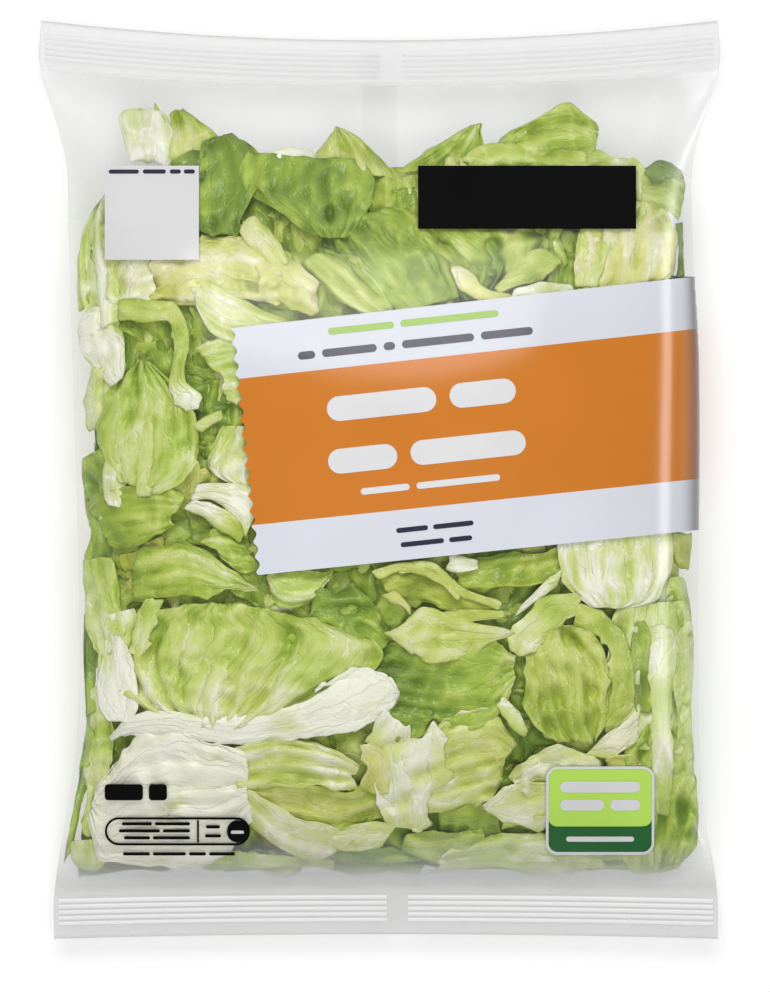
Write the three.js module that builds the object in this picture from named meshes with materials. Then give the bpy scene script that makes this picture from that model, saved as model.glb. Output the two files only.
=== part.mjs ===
// A clear pillow bag of cut salad leaves, sealed at both ends and lying on its back.
// Millimetres. +Z points out of the printed front, +Y to the top seal and +X to the right of the print.
// The origin is on the floor, under the middle of the bag.

import * as THREE from "three";

// Driving sizes
const BAG_LENGTH = 319.4;
const FLAT_WIDTH = 235.6;
const TOP_SEAL = 16.8;
const BOTTOM_SEAL = 17.4;
const SHEET = 0.8;

const TOP_END = BAG_LENGTH / 2;
const BOTTOM_END = -BAG_LENGTH / 2;
const TOP_SEAL_LINE = TOP_END - TOP_SEAL;
const BOTTOM_SEAL_LINE = BOTTOM_END + BOTTOM_SEAL;

// The bag's two sides: [height up the bag, distance from the middle line].
// The film is widest at the seals, where it lies flat, and draws in where the leaves fill it.
const LEFT_SIDE = [
  [BOTTOM_END, 113.2],
  [BOTTOM_SEAL_LINE, 112.8],
  [-90, 105],
  [-42, 104],
  [85, 107.8],
  [111, 108.8],
  [TOP_SEAL_LINE, FLAT_WIDTH / 2],
  [TOP_END, FLAT_WIDTH / 2],
];
const RIGHT_SIDE = [
  [BOTTOM_END, FLAT_WIDTH / 2],
  [BOTTOM_SEAL_LINE, 117.2],
  [-108, 111.8],
  [-62, 110.4],
  [40, 110.4],
  [85, 108.4],
  [111, 108.9],
  [TOP_SEAL_LINE, FLAT_WIDTH / 2],
  [TOP_END, FLAT_WIDTH / 2],
];

// How high above the floor the bag is widest: the seals hang lower than the filled middle.
const SIDE_HEIGHT = [
  [BOTTOM_END, 10.5],
  [BOTTOM_SEAL_LINE, 14],
  [-75, 25],
  [0, 27],
  [70, 24.5],
  [TOP_SEAL_LINE, 14],
  [TOP_END, 10.5],
];

// The filled form: how far the front stands above the widest line and the back below it,
// and how far from each seal the film takes to get there.
const FRONT_RISE = 38;
const FRONT_ROUNDNESS = 2.6;
const BACK_DROP = 31;
const BACK_ROUNDNESS = 4;
const BOTTOM_RUN = 82;
const BOTTOM_CURVE = 2.3;
const TOP_RUN = 128;
const TOP_CURVE = 2;

// The filling pulls the middle of each seal towards the middle of the bag.
const TOP_BOW = 6.9;
const BOTTOM_BOW = 1.6;
const BOW_FADE = 85;

// Leaves press broad lumps into the film, and it puckers beside the seals.
const LUMP_HEIGHT = 1.5;
const LUMP_ACROSS = 31;
const LUMP_ALONG = 26;
const PUCKER_HEIGHT = 1.4;
const PUCKER_PITCH = 27;
const PUCKER_FADE = 22;

// Crimped ribs across each seal
const RIB_COUNT = 5;
const RIB_PITCH = 2;
const RIB_HEIGHT = 0.3;
const RIB_MARGIN = 4.4;

// The fin seam down the back
const SEAM_HALF_WIDTH = 6;
const SEAM_EDGE = 0.8;
const SEAM_RELIEF = 0.5;

// Mesh steps
const COLUMNS = 34;
const BODY_ROWS = 28;

// A smooth curve through [position, value] pairs in rising order of position.
function through(knots, at) {
  const last = knots.length - 1;
  if (at <= knots[0][0]) return knots[0][1];
  if (at >= knots[last][0]) return knots[last][1];
  let k = 0;
  while (at > knots[k + 1][0]) k += 1;
  const slope = (i) => {
    const [a, b] = [knots[Math.max(i - 1, 0)], knots[Math.min(i + 1, last)]];
    return (b[1] - a[1]) / (b[0] - a[0]);
  };
  const span = knots[k + 1][0] - knots[k][0];
  const t = (at - knots[k][0]) / span;
  const start = knots[k][1] * (1 + 2 * t) * (1 - t) ** 2 + slope(k) * span * t * (1 - t) ** 2;
  const end = knots[k + 1][1] * (3 - 2 * t) * t ** 2 + slope(k + 1) * span * (t - 1) * t ** 2;
  return start + end;
}

// 0 at a seal line, 1 from run onwards, with a rounded shoulder.
function swell(distance, run, curve) {
  const left = 1 - THREE.MathUtils.clamp(distance / run, 0, 1);
  return 1 - left ** curve;
}

function fullness(y) {
  const fromBottom = swell(y - BOTTOM_SEAL_LINE, BOTTOM_RUN, BOTTOM_CURVE);
  const fromTop = swell(TOP_SEAL_LINE - y, TOP_RUN, TOP_CURVE);
  return fromBottom * fromTop;
}

// How far a flat row is drawn along the bag at its middle.
function bow(y, across) {
  const nearTop = THREE.MathUtils.clamp(1 - (TOP_END - y) / BOW_FADE, 0, 1);
  const nearBottom = THREE.MathUtils.clamp(1 - (y - BOTTOM_END) / BOW_FADE, 0, 1);
  return (BOTTOM_BOW * nearBottom - TOP_BOW * nearTop) * (1 - across ** 2);
}

// Broad lumps of the filling, from -1 to 1.
function lumps(x, y) {
  const first = Math.sin(x / LUMP_ACROSS + 0.6) * Math.cos(y / LUMP_ALONG + 0.4);
  const second = Math.sin((x + 1.4 * y) / (1.7 * LUMP_ALONG) + 2.1);
  const third = Math.cos((x - 0.8 * y) / (0.62 * LUMP_ACROSS));
  return 0.45 * first + 0.35 * second + 0.2 * third;
}

// Small folds that run out of the seals and die away, from -1 to 1.
function puckers(x, y, across) {
  const distance = Math.max(Math.min(y - BOTTOM_SEAL_LINE, TOP_SEAL_LINE - y), 0);
  const grow = Math.min(distance / (0.3 * PUCKER_FADE), 1);
  const wave = Math.cos((2 * Math.PI * x) / PUCKER_PITCH + 0.02 * y);
  return wave * grow * Math.exp(-distance / PUCKER_FADE) * (1 - across ** 4);
}

// Rows up the bag: seal edge, ribs, seal line, body, seal line, ribs, seal edge.
function rowsUpTheBag() {
  const ribEdges = Array.from({ length: 2 * RIB_COUNT + 1 }, (_, k) => RIB_MARGIN + (k * RIB_PITCH) / 2);
  const rows = [{ y: BOTTOM_END, rib: 0 }];
  ribEdges.forEach((d, k) => rows.push({ y: BOTTOM_END + d, rib: k % 2 }));
  for (let k = 0; k <= BODY_ROWS; k += 1) {
    const share = 0.5 - 0.5 * Math.cos((Math.PI * k) / BODY_ROWS);
    const eased = 0.4 * share + (0.6 * k) / BODY_ROWS;
    rows.push({ y: THREE.MathUtils.lerp(BOTTOM_SEAL_LINE, TOP_SEAL_LINE, eased), rib: 0 });
  }
  ribEdges.reverse().forEach((d, k) => rows.push({ y: TOP_END - d, rib: k % 2 }));
  rows.push({ y: TOP_END, rib: 0 });
  return rows;
}

// Columns across the bag from -1 to 1, close together at the rounded sides, with the seam's edges between.
function columnsAcross() {
  const seam = SEAM_HALF_WIDTH / (FLAT_WIDTH / 2);
  const edge = (SEAM_HALF_WIDTH + SEAM_EDGE) / (FLAT_WIDTH / 2);
  const even = Array.from({ length: COLUMNS + 1 }, (_, k) => Math.sin(Math.PI * (k / COLUMNS - 0.5)));
  const clear = even.filter((s) => Math.abs(s) > 1.3 * edge);
  return [...clear, -edge, -seam, 0, seam, edge].sort((a, b) => a - b);
}

// A point of the front (side = 1) or the back (side = -1).
function bagPoint(row, across, side) {
  const left = -through(LEFT_SIDE, row.y);
  const right = through(RIGHT_SIDE, row.y);
  const x = (left + right) / 2 + (across * (right - left)) / 2;
  const y = row.y + bow(row.y, across);
  const full = fullness(row.y);
  const shape = side > 0 ? FRONT_ROUNDNESS : BACK_ROUNDNESS;
  const depth = side > 0 ? FRONT_RISE : BACK_DROP;
  const roundness = Math.sqrt(Math.max(1 - Math.abs(across) ** shape, 0));
  const crimp = RIB_HEIGHT * (2 * row.rib - 1) * (full > 0 ? 0 : 1);
  let z = through(SIDE_HEIGHT, row.y) + side * (SHEET / 2 + depth * full * roundness);
  z += crimp + PUCKER_HEIGHT * puckers(x, row.y, across);
  if (side > 0) z += LUMP_HEIGHT * lumps(x, y) * full * roundness;
  else if (Math.abs(across) * (FLAT_WIDTH / 2) < SEAM_HALF_WIDTH + 0.01) z -= SEAM_RELIEF;
  return new THREE.Vector3(x, y, Math.max(z, 0));
}

// The bag as a loft: each row is a loop over the front and back again, and flat strips close the two ends.
function bagGeometry() {
  const rows = rowsUpTheBag();
  const columns = columnsAcross();
  const loop = 2 * columns.length;
  const points = rows.flatMap((row) => [
    ...columns.map((across) => bagPoint(row, across, 1)),
    ...[...columns].reverse().map((across) => bagPoint(row, across, -1)),
  ]);
  const faces = [];
  const quad = (a, b, c, d) => faces.push(a, b, c, a, c, d);
  for (let r = 0; r + 1 < rows.length; r += 1)
    for (let k = 0; k < loop; k += 1) {
      const next = (k + 1) % loop;
      quad(r * loop + k, r * loop + next, (r + 1) * loop + next, (r + 1) * loop + k);
    }
  const lastRow = (rows.length - 1) * loop;
  for (let k = 0; k + 1 < columns.length; k += 1) {
    const under = loop - 1 - k;
    quad(k, under, under - 1, k + 1);
    quad(lastRow + k, lastRow + k + 1, lastRow + under - 1, lastRow + under);
  }
  const geometry = new THREE.BufferGeometry().setFromPoints(points);
  geometry.setIndex(faces);
  geometry.computeVertexNormals();
  return geometry;
}

const filledBagLook = new THREE.MeshStandardMaterial({ color: 0xb7cc82, roughness: 0.35, metalness: 0 });

const bag = new THREE.Mesh(bagGeometry(), filledBagLook);
bag.name = "salad_bag";

const model = new THREE.Group();
model.add(bag);

export default model;
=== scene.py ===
import math

import bpy
import mathutils
import numpy as np
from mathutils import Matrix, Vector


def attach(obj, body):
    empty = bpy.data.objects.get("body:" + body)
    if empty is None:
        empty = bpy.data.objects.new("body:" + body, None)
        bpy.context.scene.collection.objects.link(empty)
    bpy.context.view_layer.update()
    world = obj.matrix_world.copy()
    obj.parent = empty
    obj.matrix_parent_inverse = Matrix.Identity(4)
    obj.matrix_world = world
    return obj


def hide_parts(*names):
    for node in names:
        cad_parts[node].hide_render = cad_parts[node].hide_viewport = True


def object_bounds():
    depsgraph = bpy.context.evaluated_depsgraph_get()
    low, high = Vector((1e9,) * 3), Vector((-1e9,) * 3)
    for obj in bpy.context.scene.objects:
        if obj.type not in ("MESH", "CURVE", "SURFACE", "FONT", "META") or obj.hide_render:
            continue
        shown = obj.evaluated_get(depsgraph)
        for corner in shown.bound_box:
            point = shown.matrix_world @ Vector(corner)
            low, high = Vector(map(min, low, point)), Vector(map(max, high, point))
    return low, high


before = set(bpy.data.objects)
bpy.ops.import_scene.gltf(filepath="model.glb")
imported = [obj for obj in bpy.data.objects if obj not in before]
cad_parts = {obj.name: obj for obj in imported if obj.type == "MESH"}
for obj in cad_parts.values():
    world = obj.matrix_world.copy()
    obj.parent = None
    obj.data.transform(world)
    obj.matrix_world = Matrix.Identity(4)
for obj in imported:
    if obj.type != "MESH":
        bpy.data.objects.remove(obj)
cad_low, cad_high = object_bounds()

# The film: one clear tube of thin plastic, flattened and heat sealed at both ends, and filled
# out by the leaves. Lengths are in millimetres until a mesh is made. The front faces up, +Y is
# the top seal, and the bag's width at each height follows the solid that this film replaces.
MM = 0.001
BAG_END = cad_high.y / MM
SHEET = 0.8
TOP_SEAL = 16.8
BOTTOM_SEAL = 17.4
FLAT_HALF = 117.8
TOP_SEAL_LINE = BAG_END - TOP_SEAL
BOTTOM_SEAL_LINE = BOTTOM_SEAL - BAG_END
LEFT_SIDE = [
    (-BAG_END, 113.2), (BOTTOM_SEAL_LINE, 112.8), (-90, 105), (-42, 104), (85, 107.8), (111, 108.8),
    (TOP_SEAL_LINE, FLAT_HALF), (BAG_END, FLAT_HALF),
]
RIGHT_SIDE = [
    (-BAG_END, FLAT_HALF), (BOTTOM_SEAL_LINE, 117.2), (-108, 111.8), (-62, 110.4), (40, 110.4),
    (85, 108.4), (111, 108.9), (TOP_SEAL_LINE, FLAT_HALF), (BAG_END, FLAT_HALF),
]
SIDE_HEIGHT = [
    (-BAG_END, 10.5), (BOTTOM_SEAL_LINE, 14), (-75, 25), (0, 27), (70, 24.5),
    (TOP_SEAL_LINE, 14), (BAG_END, 10.5),
]
FRONT_RISE, FRONT_ROUNDNESS = 38, 2.6
BACK_DROP, BACK_ROUNDNESS = 31, 4
BOTTOM_RUN, BOTTOM_CURVE = 82, 2.3
TOP_RUN, TOP_CURVE = 128, 2
TOP_BOW, BOTTOM_BOW, BOW_FADE = 6.9, 1.6, 85
LUMP_HEIGHT, LUMP_ACROSS, LUMP_ALONG = 1.5, 31, 26
PUCKER_HEIGHT, PUCKER_PITCH, PUCKER_FADE = 1.4, 27, 22
CREASE_HEIGHT, CREASE_FADE = 0.5, 26
REST_GAP = 0.3


def through(knots, at):
    """A smooth curve through (place, value) pairs in rising order of place."""
    place, value = np.array(knots, float).T
    last = len(place) - 1
    before = np.maximum(np.arange(last + 1) - 1, 0)
    after = np.minimum(np.arange(last + 1) + 1, last)
    slope = (value[after] - value[before]) / (place[after] - place[before])
    at = np.clip(at, place[0], place[-1])
    k = np.clip(np.searchsorted(place, at, side="right") - 1, 0, last - 1)
    span = place[k + 1] - place[k]
    t = (at - place[k]) / span
    start = value[k] * (1 + 2 * t) * (1 - t) ** 2 + slope[k] * span * t * (1 - t) ** 2
    end = value[k + 1] * (3 - 2 * t) * t**2 + slope[k + 1] * span * (t - 1) * t**2
    return start + end


def ease(low, high, value):
    """0 below low, 1 above high, and a soft step between."""
    t = np.clip((value - low) / (high - low), 0, 1)
    return t * t * (3 - 2 * t)


RIPPLE_WAVES = 6


def ripple(x, y, span, seed):
    """Smooth unevenness, mostly from -1 to 1, whose bumps are about half a span wide."""
    draw = np.random.default_rng(seed)
    total = 0
    for _ in range(RIPPLE_WAVES):
        heading = draw.uniform(0, math.tau)
        length = span * draw.uniform(0.7, 1.5)
        phase = draw.uniform(0, math.tau)
        total = total + np.sin((x * math.cos(heading) + y * math.sin(heading)) * math.tau / length + phase)
    return total / (0.55 * RIPPLE_WAVES)


def swell(distance, run, curve):
    """0 at a seal line, 1 from run onwards, with a rounded shoulder."""
    return 1 - (1 - np.clip(distance / run, 0, 1)) ** curve


def fullness(y):
    """How far the leaves fill the bag out, from 0 at the seals to 1."""
    from_bottom = swell(y - BOTTOM_SEAL_LINE, BOTTOM_RUN, BOTTOM_CURVE)
    from_top = swell(TOP_SEAL_LINE - y, TOP_RUN, TOP_CURVE)
    return from_bottom * from_top


def bow(y, across):
    """How far the filling draws a row along the bag towards its middle."""
    near_top = np.clip(1 - (BAG_END - y) / BOW_FADE, 0, 1)
    near_bottom = np.clip(1 - (y + BAG_END) / BOW_FADE, 0, 1)
    return (BOTTOM_BOW * near_bottom - TOP_BOW * near_top) * (1 - across**2)


def bag_middle(y):
    """The x of the middle between the bag's two sides."""
    return (through(RIGHT_SIDE, y) - through(LEFT_SIDE, y)) / 2


def bag_half(y):
    """Half the width between the bag's two sides."""
    return (through(RIGHT_SIDE, y) + through(LEFT_SIDE, y)) / 2


def within_seals(row):
    """How far a row is from the nearer seal, and below 0 in the seals."""
    return np.minimum(row - BOTTOM_SEAL_LINE, TOP_SEAL_LINE - row)


def puckers(x, row, across):
    """Small folds that run out of the seals and die away, from -1 to 1."""
    inside = np.maximum(within_seals(row), 0)
    grow = np.minimum(inside / (0.3 * PUCKER_FADE), 1) * np.exp(-inside / PUCKER_FADE)
    return np.cos(math.tau * x / PUCKER_PITCH + 0.02 * row) * grow * (1 - across**4)


def lumps(x, y):
    """Broad lumps that the leaves press into the front, from -1 to 1."""
    first = np.sin(x / LUMP_ACROSS + 0.6) * np.cos(y / LUMP_ALONG + 0.4)
    second = np.sin((x + 1.4 * y) / (1.7 * LUMP_ALONG) + 2.1)
    third = np.cos((x - 0.8 * y) / (0.62 * LUMP_ACROSS))
    return 0.45 * first + 0.35 * second + 0.2 * third


def film_at(row, across, side):
    """Points of the front (side 1) or back (side -1): row up the bag, across from -1 to 1."""
    x = bag_middle(row) + across * bag_half(row)
    y = row + bow(row, across)
    full = fullness(row)
    depth, shape = (FRONT_RISE, FRONT_ROUNDNESS) if side > 0 else (BACK_DROP, BACK_ROUNDNESS)
    round_off = np.sqrt(np.clip(1 - np.abs(across) ** shape, 0, 1))
    z = through(SIDE_HEIGHT, row) + side * (SHEET / 2 + depth * full * round_off)
    z = z + PUCKER_HEIGHT * puckers(x, row, across)
    if side > 0:
        z = z + LUMP_HEIGHT * lumps(x, y) * full * round_off
    return x, y, np.maximum(z, REST_GAP)


def place_in_bag(x, y):
    """The row and the share across that a point seen at x, y has."""
    row = y
    for _ in range(4):
        across = (x - bag_middle(row)) / bag_half(row)
        row = np.clip(y - bow(row, np.clip(across, -1, 1)), -BAG_END, BAG_END)
    return row, across


def creases(x, y, row):
    """Small sharp folds in the film: long ones out of the seals, short ones over the leaves."""
    near_seal = np.exp(-np.clip(within_seals(row), 0, None) / CREASE_FADE)
    upright = 1 - np.abs(ripple(x, 0.16 * y, 22, 5)) * 2
    slanted = 1 - np.abs(ripple(x + 0.5 * y, 0.2 * y, 34, 9)) * 2
    return ease(0, 6, within_seals(row)) * (0.34 * near_seal * upright + 0.1 * slanted)


def film_skin(row, across, side):
    """The film with its creases, as points."""
    x, y, z = film_at(row, across, side)
    if side > 0:
        z = z + CREASE_HEIGHT * creases(x, y, row)
    return np.stack([x, y, z], -1)


def mesh_object(name, points, faces, material, uv=None, values=None):
    """A smooth mesh from points in millimetres and faces of four corners each."""
    corners = faces.ravel()
    mesh = bpy.data.meshes.new(name)
    mesh.vertices.add(len(points))
    mesh.vertices.foreach_set("co", (np.asarray(points, float) * MM).astype(np.float32).ravel())
    mesh.loops.add(len(corners))
    mesh.loops.foreach_set("vertex_index", corners.astype(np.int32))
    mesh.polygons.add(len(faces))
    mesh.polygons.foreach_set("loop_start", np.arange(0, len(corners), 4, dtype=np.int32))
    mesh.polygons.foreach_set("use_smooth", np.ones(len(faces), bool))
    mesh.materials.append(material)
    if uv is not None:
        layer = mesh.uv_layers.new(name="flat")
        layer.data.foreach_set("uv", np.asarray(uv, np.float32)[corners].ravel())
    for key, value in (values or {}).items():
        attribute = mesh.attributes.new(key, "FLOAT", "POINT")
        attribute.data.foreach_set("value", np.asarray(value, np.float32))
    mesh.update(calc_edges=True)
    mesh.validate()
    made = bpy.data.objects.new(name, mesh)
    bpy.context.scene.collection.objects.link(made)
    return made


def grid_faces(rows, columns, first=0, flip=False):
    """Faces of a grid of points that are numbered row by row."""
    start = first + (np.arange(rows - 1)[:, None] * columns + np.arange(columns - 1)[None, :]).ravel()
    faces = np.stack([start, start + 1, start + columns + 1, start + columns], 1)
    return faces[:, ::-1] if flip else faces


def thin_solid(upper, lower, flip=False):
    """Points and faces of the closed solid between two grids of points, one over the other."""
    rows, columns = upper.shape[:2]
    total = rows * columns
    ring = np.r_[np.arange(columns), np.arange(2 * columns - 1, total, columns),
                 np.arange(total - 2, total - columns - 1, -1), np.arange(total - 2 * columns, 0, -columns)]
    edge = np.stack([ring + total, np.roll(ring, -1) + total, np.roll(ring, -1), ring], 1)
    if flip:
        edge = edge[:, ::-1]
    points = np.concatenate([upper.reshape(-1, 3), lower.reshape(-1, 3)])
    faces = [grid_faces(rows, columns, 0, flip), grid_faces(rows, columns, total, not flip), edge]
    return points, np.concatenate(faces)


class Value:
    """A number, colour or vector on its way through a material; arithmetic adds Math nodes."""

    def __init__(self, finish, socket):
        self.finish = finish
        self.socket = socket

    def math(self, operation, *values):
        return self.finish.node("ShaderNodeMath", {"operation": operation}, dict(enumerate(values)))

    def __add__(self, other):
        return self.math("ADD", self, other)

    def __sub__(self, other):
        return self.math("SUBTRACT", self, other)

    def __mul__(self, other):
        return self.math("MULTIPLY", self, other)

    def __rsub__(self, other):
        return self.math("SUBTRACT", other, self)

    def __abs__(self):
        return self.math("ABSOLUTE", self)

    __radd__ = __add__
    __rmul__ = __mul__

    def step(self, low, high, start=0.0, end=1.0):
        """A soft step from start below low to end above high."""
        inputs = {0: self, 1: low, 2: high, 3: start, 4: end}
        return self.finish.node("ShaderNodeMapRange", {"interpolation_type": "SMOOTHSTEP"}, inputs)

    def output(self, name):
        return Value(self.finish, self.socket.node.outputs[name])


class Nodes:
    """A node tree in the making."""

    def __init__(self, tree):
        self.tree = tree
        self.tree.nodes.clear()

    def node(self, kind, settings=None, sockets=None):
        """Adds a node, sets it up, fills its sockets and gives its first output."""
        made = self.tree.nodes.new(kind)
        for key, value in (settings or {}).items():
            if key == "stops":
                ramp = made.color_ramp.elements
                while len(ramp) < len(value):
                    ramp.new(0.5)
                for element, (place, colour) in zip(ramp, value):
                    element.position = place
                    element.color = (*colour, 1)
            else:
                setattr(made, key, value)
        for key, value in (sockets or {}).items():
            if isinstance(value, Value):
                self.tree.links.new(value.socket, made.inputs[key])
            else:
                made.inputs[key].default_value = value
        return Value(self, next(o for o in made.outputs if o.enabled))

    def mix(self, share, first, second):
        """Two colours mixed by a share."""
        sockets = {"Factor": share, 6: first, 7: second}
        made = self.node("ShaderNodeMix", {"data_type": "RGBA"}, sockets)
        return Value(self, made.socket.node.outputs[2])


class Finish(Nodes):
    """A material in the making."""

    def __init__(self, name):
        self.material = bpy.data.materials.new(name)
        self.material.use_nodes = True
        super().__init__(self.material.node_tree)

    def close(self, shader):
        end = self.tree.nodes.new("ShaderNodeOutputMaterial")
        self.tree.links.new(shader.socket, end.inputs["Surface"])
        return self.material


def film_finish(name, haze, shine, pale=(0.8, 0.8, 0.8), tint=0.994, dull=0.5):
    """Clear film: mostly see-through, a mirror at a low angle, and milky as haze and milk say."""
    made = Finish(name)
    facing = made.node("ShaderNodeLayerWeight", {}, {"Blend": 0.22}).output("Facing")
    milk = made.node("ShaderNodeAttribute", {"attribute_name": "milk"}).output("Fac")
    glance = facing * facing * facing
    thick = milk + haze
    seen = thick + glance * shine
    solid = made.node("ShaderNodeBsdfPrincipled", {}, {
        "Base Color": made.mix(thick.step(0.02, 0.3), (0.84, 0.84, 0.84, 1), (*pale, 1)),
        "Metallic": thick.step(0.02, 0.27, 0.8, 0.1),
        "Roughness": thick.step(0.02, 0.32, 0.14, dull),
    })
    clear = made.node("ShaderNodeBsdfTransparent", {}, {"Color": (tint, tint, tint, 1)})
    share = seen.math("MINIMUM", seen, 0.95)
    return made.close(made.node("ShaderNodeMixShader", {}, {0: share, 1: clear, 2: solid}))


film_material = film_finish("clear film", 0.04, 0.62)

FILM_ROWS_PER_SEAL = 12
FILM_ROWS = 184
FILM_COLUMNS = 210


def film_rows():
    """Rows up the bag, closer together beside the seals."""
    low = np.linspace(-BAG_END, BOTTOM_SEAL_LINE, FILM_ROWS_PER_SEAL, endpoint=False)
    even = np.linspace(0, 1, FILM_ROWS)
    eased = 0.7 * even + 0.15 * (1 - np.cos(math.pi * even))
    middle = BOTTOM_SEAL_LINE + (TOP_SEAL_LINE - BOTTOM_SEAL_LINE) * eased
    high = np.linspace(TOP_SEAL_LINE, BAG_END, FILM_ROWS_PER_SEAL + 1)[1:]
    return np.r_[low, middle, high]


def film_columns():
    """Shares across the bag, closer together at its rounded sides."""
    even = np.linspace(-1, 1, FILM_COLUMNS)
    return 0.25 * even + 0.75 * np.sin(math.pi * even / 2)


def milkiness(x, row):
    """How milky the film looks: most where it is sealed, and fading out of the bottom seal, where the milk is
    partly the gathered film's haze and partly painted reflection.
    """
    sealed = ease(TOP_SEAL_LINE - 0.6, TOP_SEAL_LINE + 0.6, row)
    inside = row - BOTTOM_SEAL_LINE
    # Milk rising into the bottom seal: partly haze where the film gathers, partly a painted reflection of the
    # film's steep lower end.
    gathered_haze_and_reflection = 0.28 * ease(-22, -6, 2 * ripple(x, 0 * x, 60, 3) - inside) + 0.46 * ease(-9, -1, -inside)
    crushed_haze_and_reflection = gathered_haze_and_reflection * (1 - 0.38 * ease(0, 3, -inside))
    shoulder = (0.14 - 0.03 * np.sign(x)) * ease(0.5, 0.92, np.abs(x) / FLAT_HALF) * ease(60, 112, row)
    under_top = 0.03 * ease(-16, 0, row - TOP_SEAL_LINE)
    return np.maximum(0.5 * sealed, crushed_haze_and_reflection) + (under_top + shoulder) * (1 - sealed)


rows, columns = np.meshgrid(film_rows(), film_columns(), indexing="ij")
front, back = film_skin(rows, columns, 1), film_skin(rows, columns, -1)
film_points, film_faces = thin_solid(front, back)
milk = np.tile(milkiness(front[..., 0], rows).ravel(), 2)
film = mesh_object("bag_film", film_points, film_faces, film_material, values={"milk": milk})
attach(film, "root")
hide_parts("salad_bag")

# The crimped ribs: five low ridges across each seal, pressed by the sealing jaws. A guide line
# follows each seal on either side of the back seam, and the ribs repeat from it at an even pitch.
RIB_COUNT = 5
RIB_PITCH = 2.0
FIRST_RIB = 5.4
RIB_HALF_WIDTH = 1.12
RIB_HALF_HEIGHT = 0.53
RIB_SIDES = 12
RIB_SPANS = ((-0.985, 0.002), (0.066, 0.985))
RIB_KNOTS = 60
RIB_WHITE = (1.0, 1.0, 1.0)


def guide_line(row, low, high):
    """Points along the middle of a seal between two shares across."""
    across = np.linspace(low, high, RIB_KNOTS)
    x, y, top = film_at(np.full(RIB_KNOTS, row), across, 1)
    bottom = film_at(np.full(RIB_KNOTS, row), across, -1)[2]
    return np.stack([x, y, (top + bottom) / 2], -1)


def rib_maker(material):
    """Geometry nodes that turn guide lines into rows of ribs."""
    group = bpy.data.node_groups.new("crimped ribs", "GeometryNodeTree")
    maker = Nodes(group)
    ports = [("Guide", "INPUT", "NodeSocketGeometry"), ("Count", "INPUT", "NodeSocketInt"),
             ("Step", "INPUT", "NodeSocketVector"), ("Profile", "INPUT", "NodeSocketVector"),
             ("Ribs", "OUTPUT", "NodeSocketGeometry")]
    for label, way, kind in ports:
        group.interface.new_socket(label, in_out=way, socket_type=kind)
    given = maker.node("NodeGroupInput")
    line = maker.node("GeometryNodeMeshToCurve", {}, {"Mesh": given.output("Guide")})
    level = maker.node("GeometryNodeSetCurveNormal", {"mode": "Z_UP"}, {"Curve": line})
    ring = maker.node("GeometryNodeCurvePrimitiveCircle", {}, {"Resolution": RIB_SIDES, "Radius": 1.0})
    oval = maker.node("GeometryNodeTransform", {}, {"Geometry": ring, "Scale": given.output("Profile")})
    swept = {"Curve": level, "Profile Curve": oval, "Fill Caps": True}
    rib = maker.node("GeometryNodeCurveToMesh", {}, swept)
    places = maker.node("GeometryNodeMeshLine", {"mode": "OFFSET"}, {
        "Count": given.output("Count"), "Offset": given.output("Step")})
    copies = maker.node("GeometryNodeInstanceOnPoints", {}, {"Points": places, "Instance": rib})
    solid = maker.node("GeometryNodeRealizeInstances", {}, {"Geometry": copies})
    dressed = maker.node("GeometryNodeSetMaterial", {}, {"Geometry": solid, "Material": material})
    end = group.nodes.new("NodeGroupOutput")
    group.links.new(dressed.socket, end.inputs["Ribs"])
    return group


def seal_ribs(name, group, inward):
    """The ribs of the top seal (inward -1) or of the bottom seal (inward 1)."""
    first = -inward * (BAG_END - FIRST_RIB)
    lines = [guide_line(first, low, high) for low, high in RIB_SPANS]
    step = guide_line(first + inward * RIB_PITCH, *RIB_SPANS[0])[RIB_KNOTS // 2] - lines[0][RIB_KNOTS // 2]
    guide = bpy.data.meshes.new(name)
    edges = [(k, k + 1) for k in range(RIB_KNOTS - 1)]
    edges += [(k + RIB_KNOTS, k + 1 + RIB_KNOTS) for k in range(RIB_KNOTS - 1)]
    guide.from_pydata((np.concatenate(lines) * MM).tolist(), edges, [])
    ribs = bpy.data.objects.new(name, guide)
    bpy.context.scene.collection.objects.link(ribs)
    growth = ribs.modifiers.new("ribs", "NODES")
    growth.node_group = group
    profile = (RIB_HALF_WIDTH * MM, RIB_HALF_HEIGHT * MM, 1)
    sizes = {"Count": RIB_COUNT, "Step": (step * MM).tolist(), "Profile": profile}
    for item in group.interface.items_tree:
        if item.name in sizes:
            growth[item.identifier] = sizes[item.name]
    made = bpy.data.meshes.new_from_object(ribs.evaluated_get(bpy.context.evaluated_depsgraph_get()))
    ribs.modifiers.clear()
    ribs.data = made
    made.polygons.foreach_set("use_smooth", np.ones(len(made.polygons), bool))
    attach(ribs, "root")


# The bottom seal's ribs get much more milk than the top seal's: partly the crushed film's own milkiness,
# partly painted highlight that makes them read as bright bands.
seal_ribs("ribs_top", rib_maker(film_finish("top ribbed film", 0.44, 0.05, RIB_WHITE, dull=0.5)), -1)
seal_ribs("ribs_bottom", rib_maker(film_finish("bottom ribbed film and painted highlight", 0.8, 0.05, RIB_WHITE, dull=0.6)), 1)

# The fin seam: a flat strip of doubled film that closes the tube down the middle of its back.
SEAM_HALF_WIDTH = 6
SEAM_THICK = 0.5
SEAM_INSIDE = 0.1
SEAM_MILK = 0.012
SEAM_COLUMNS = 7

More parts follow.
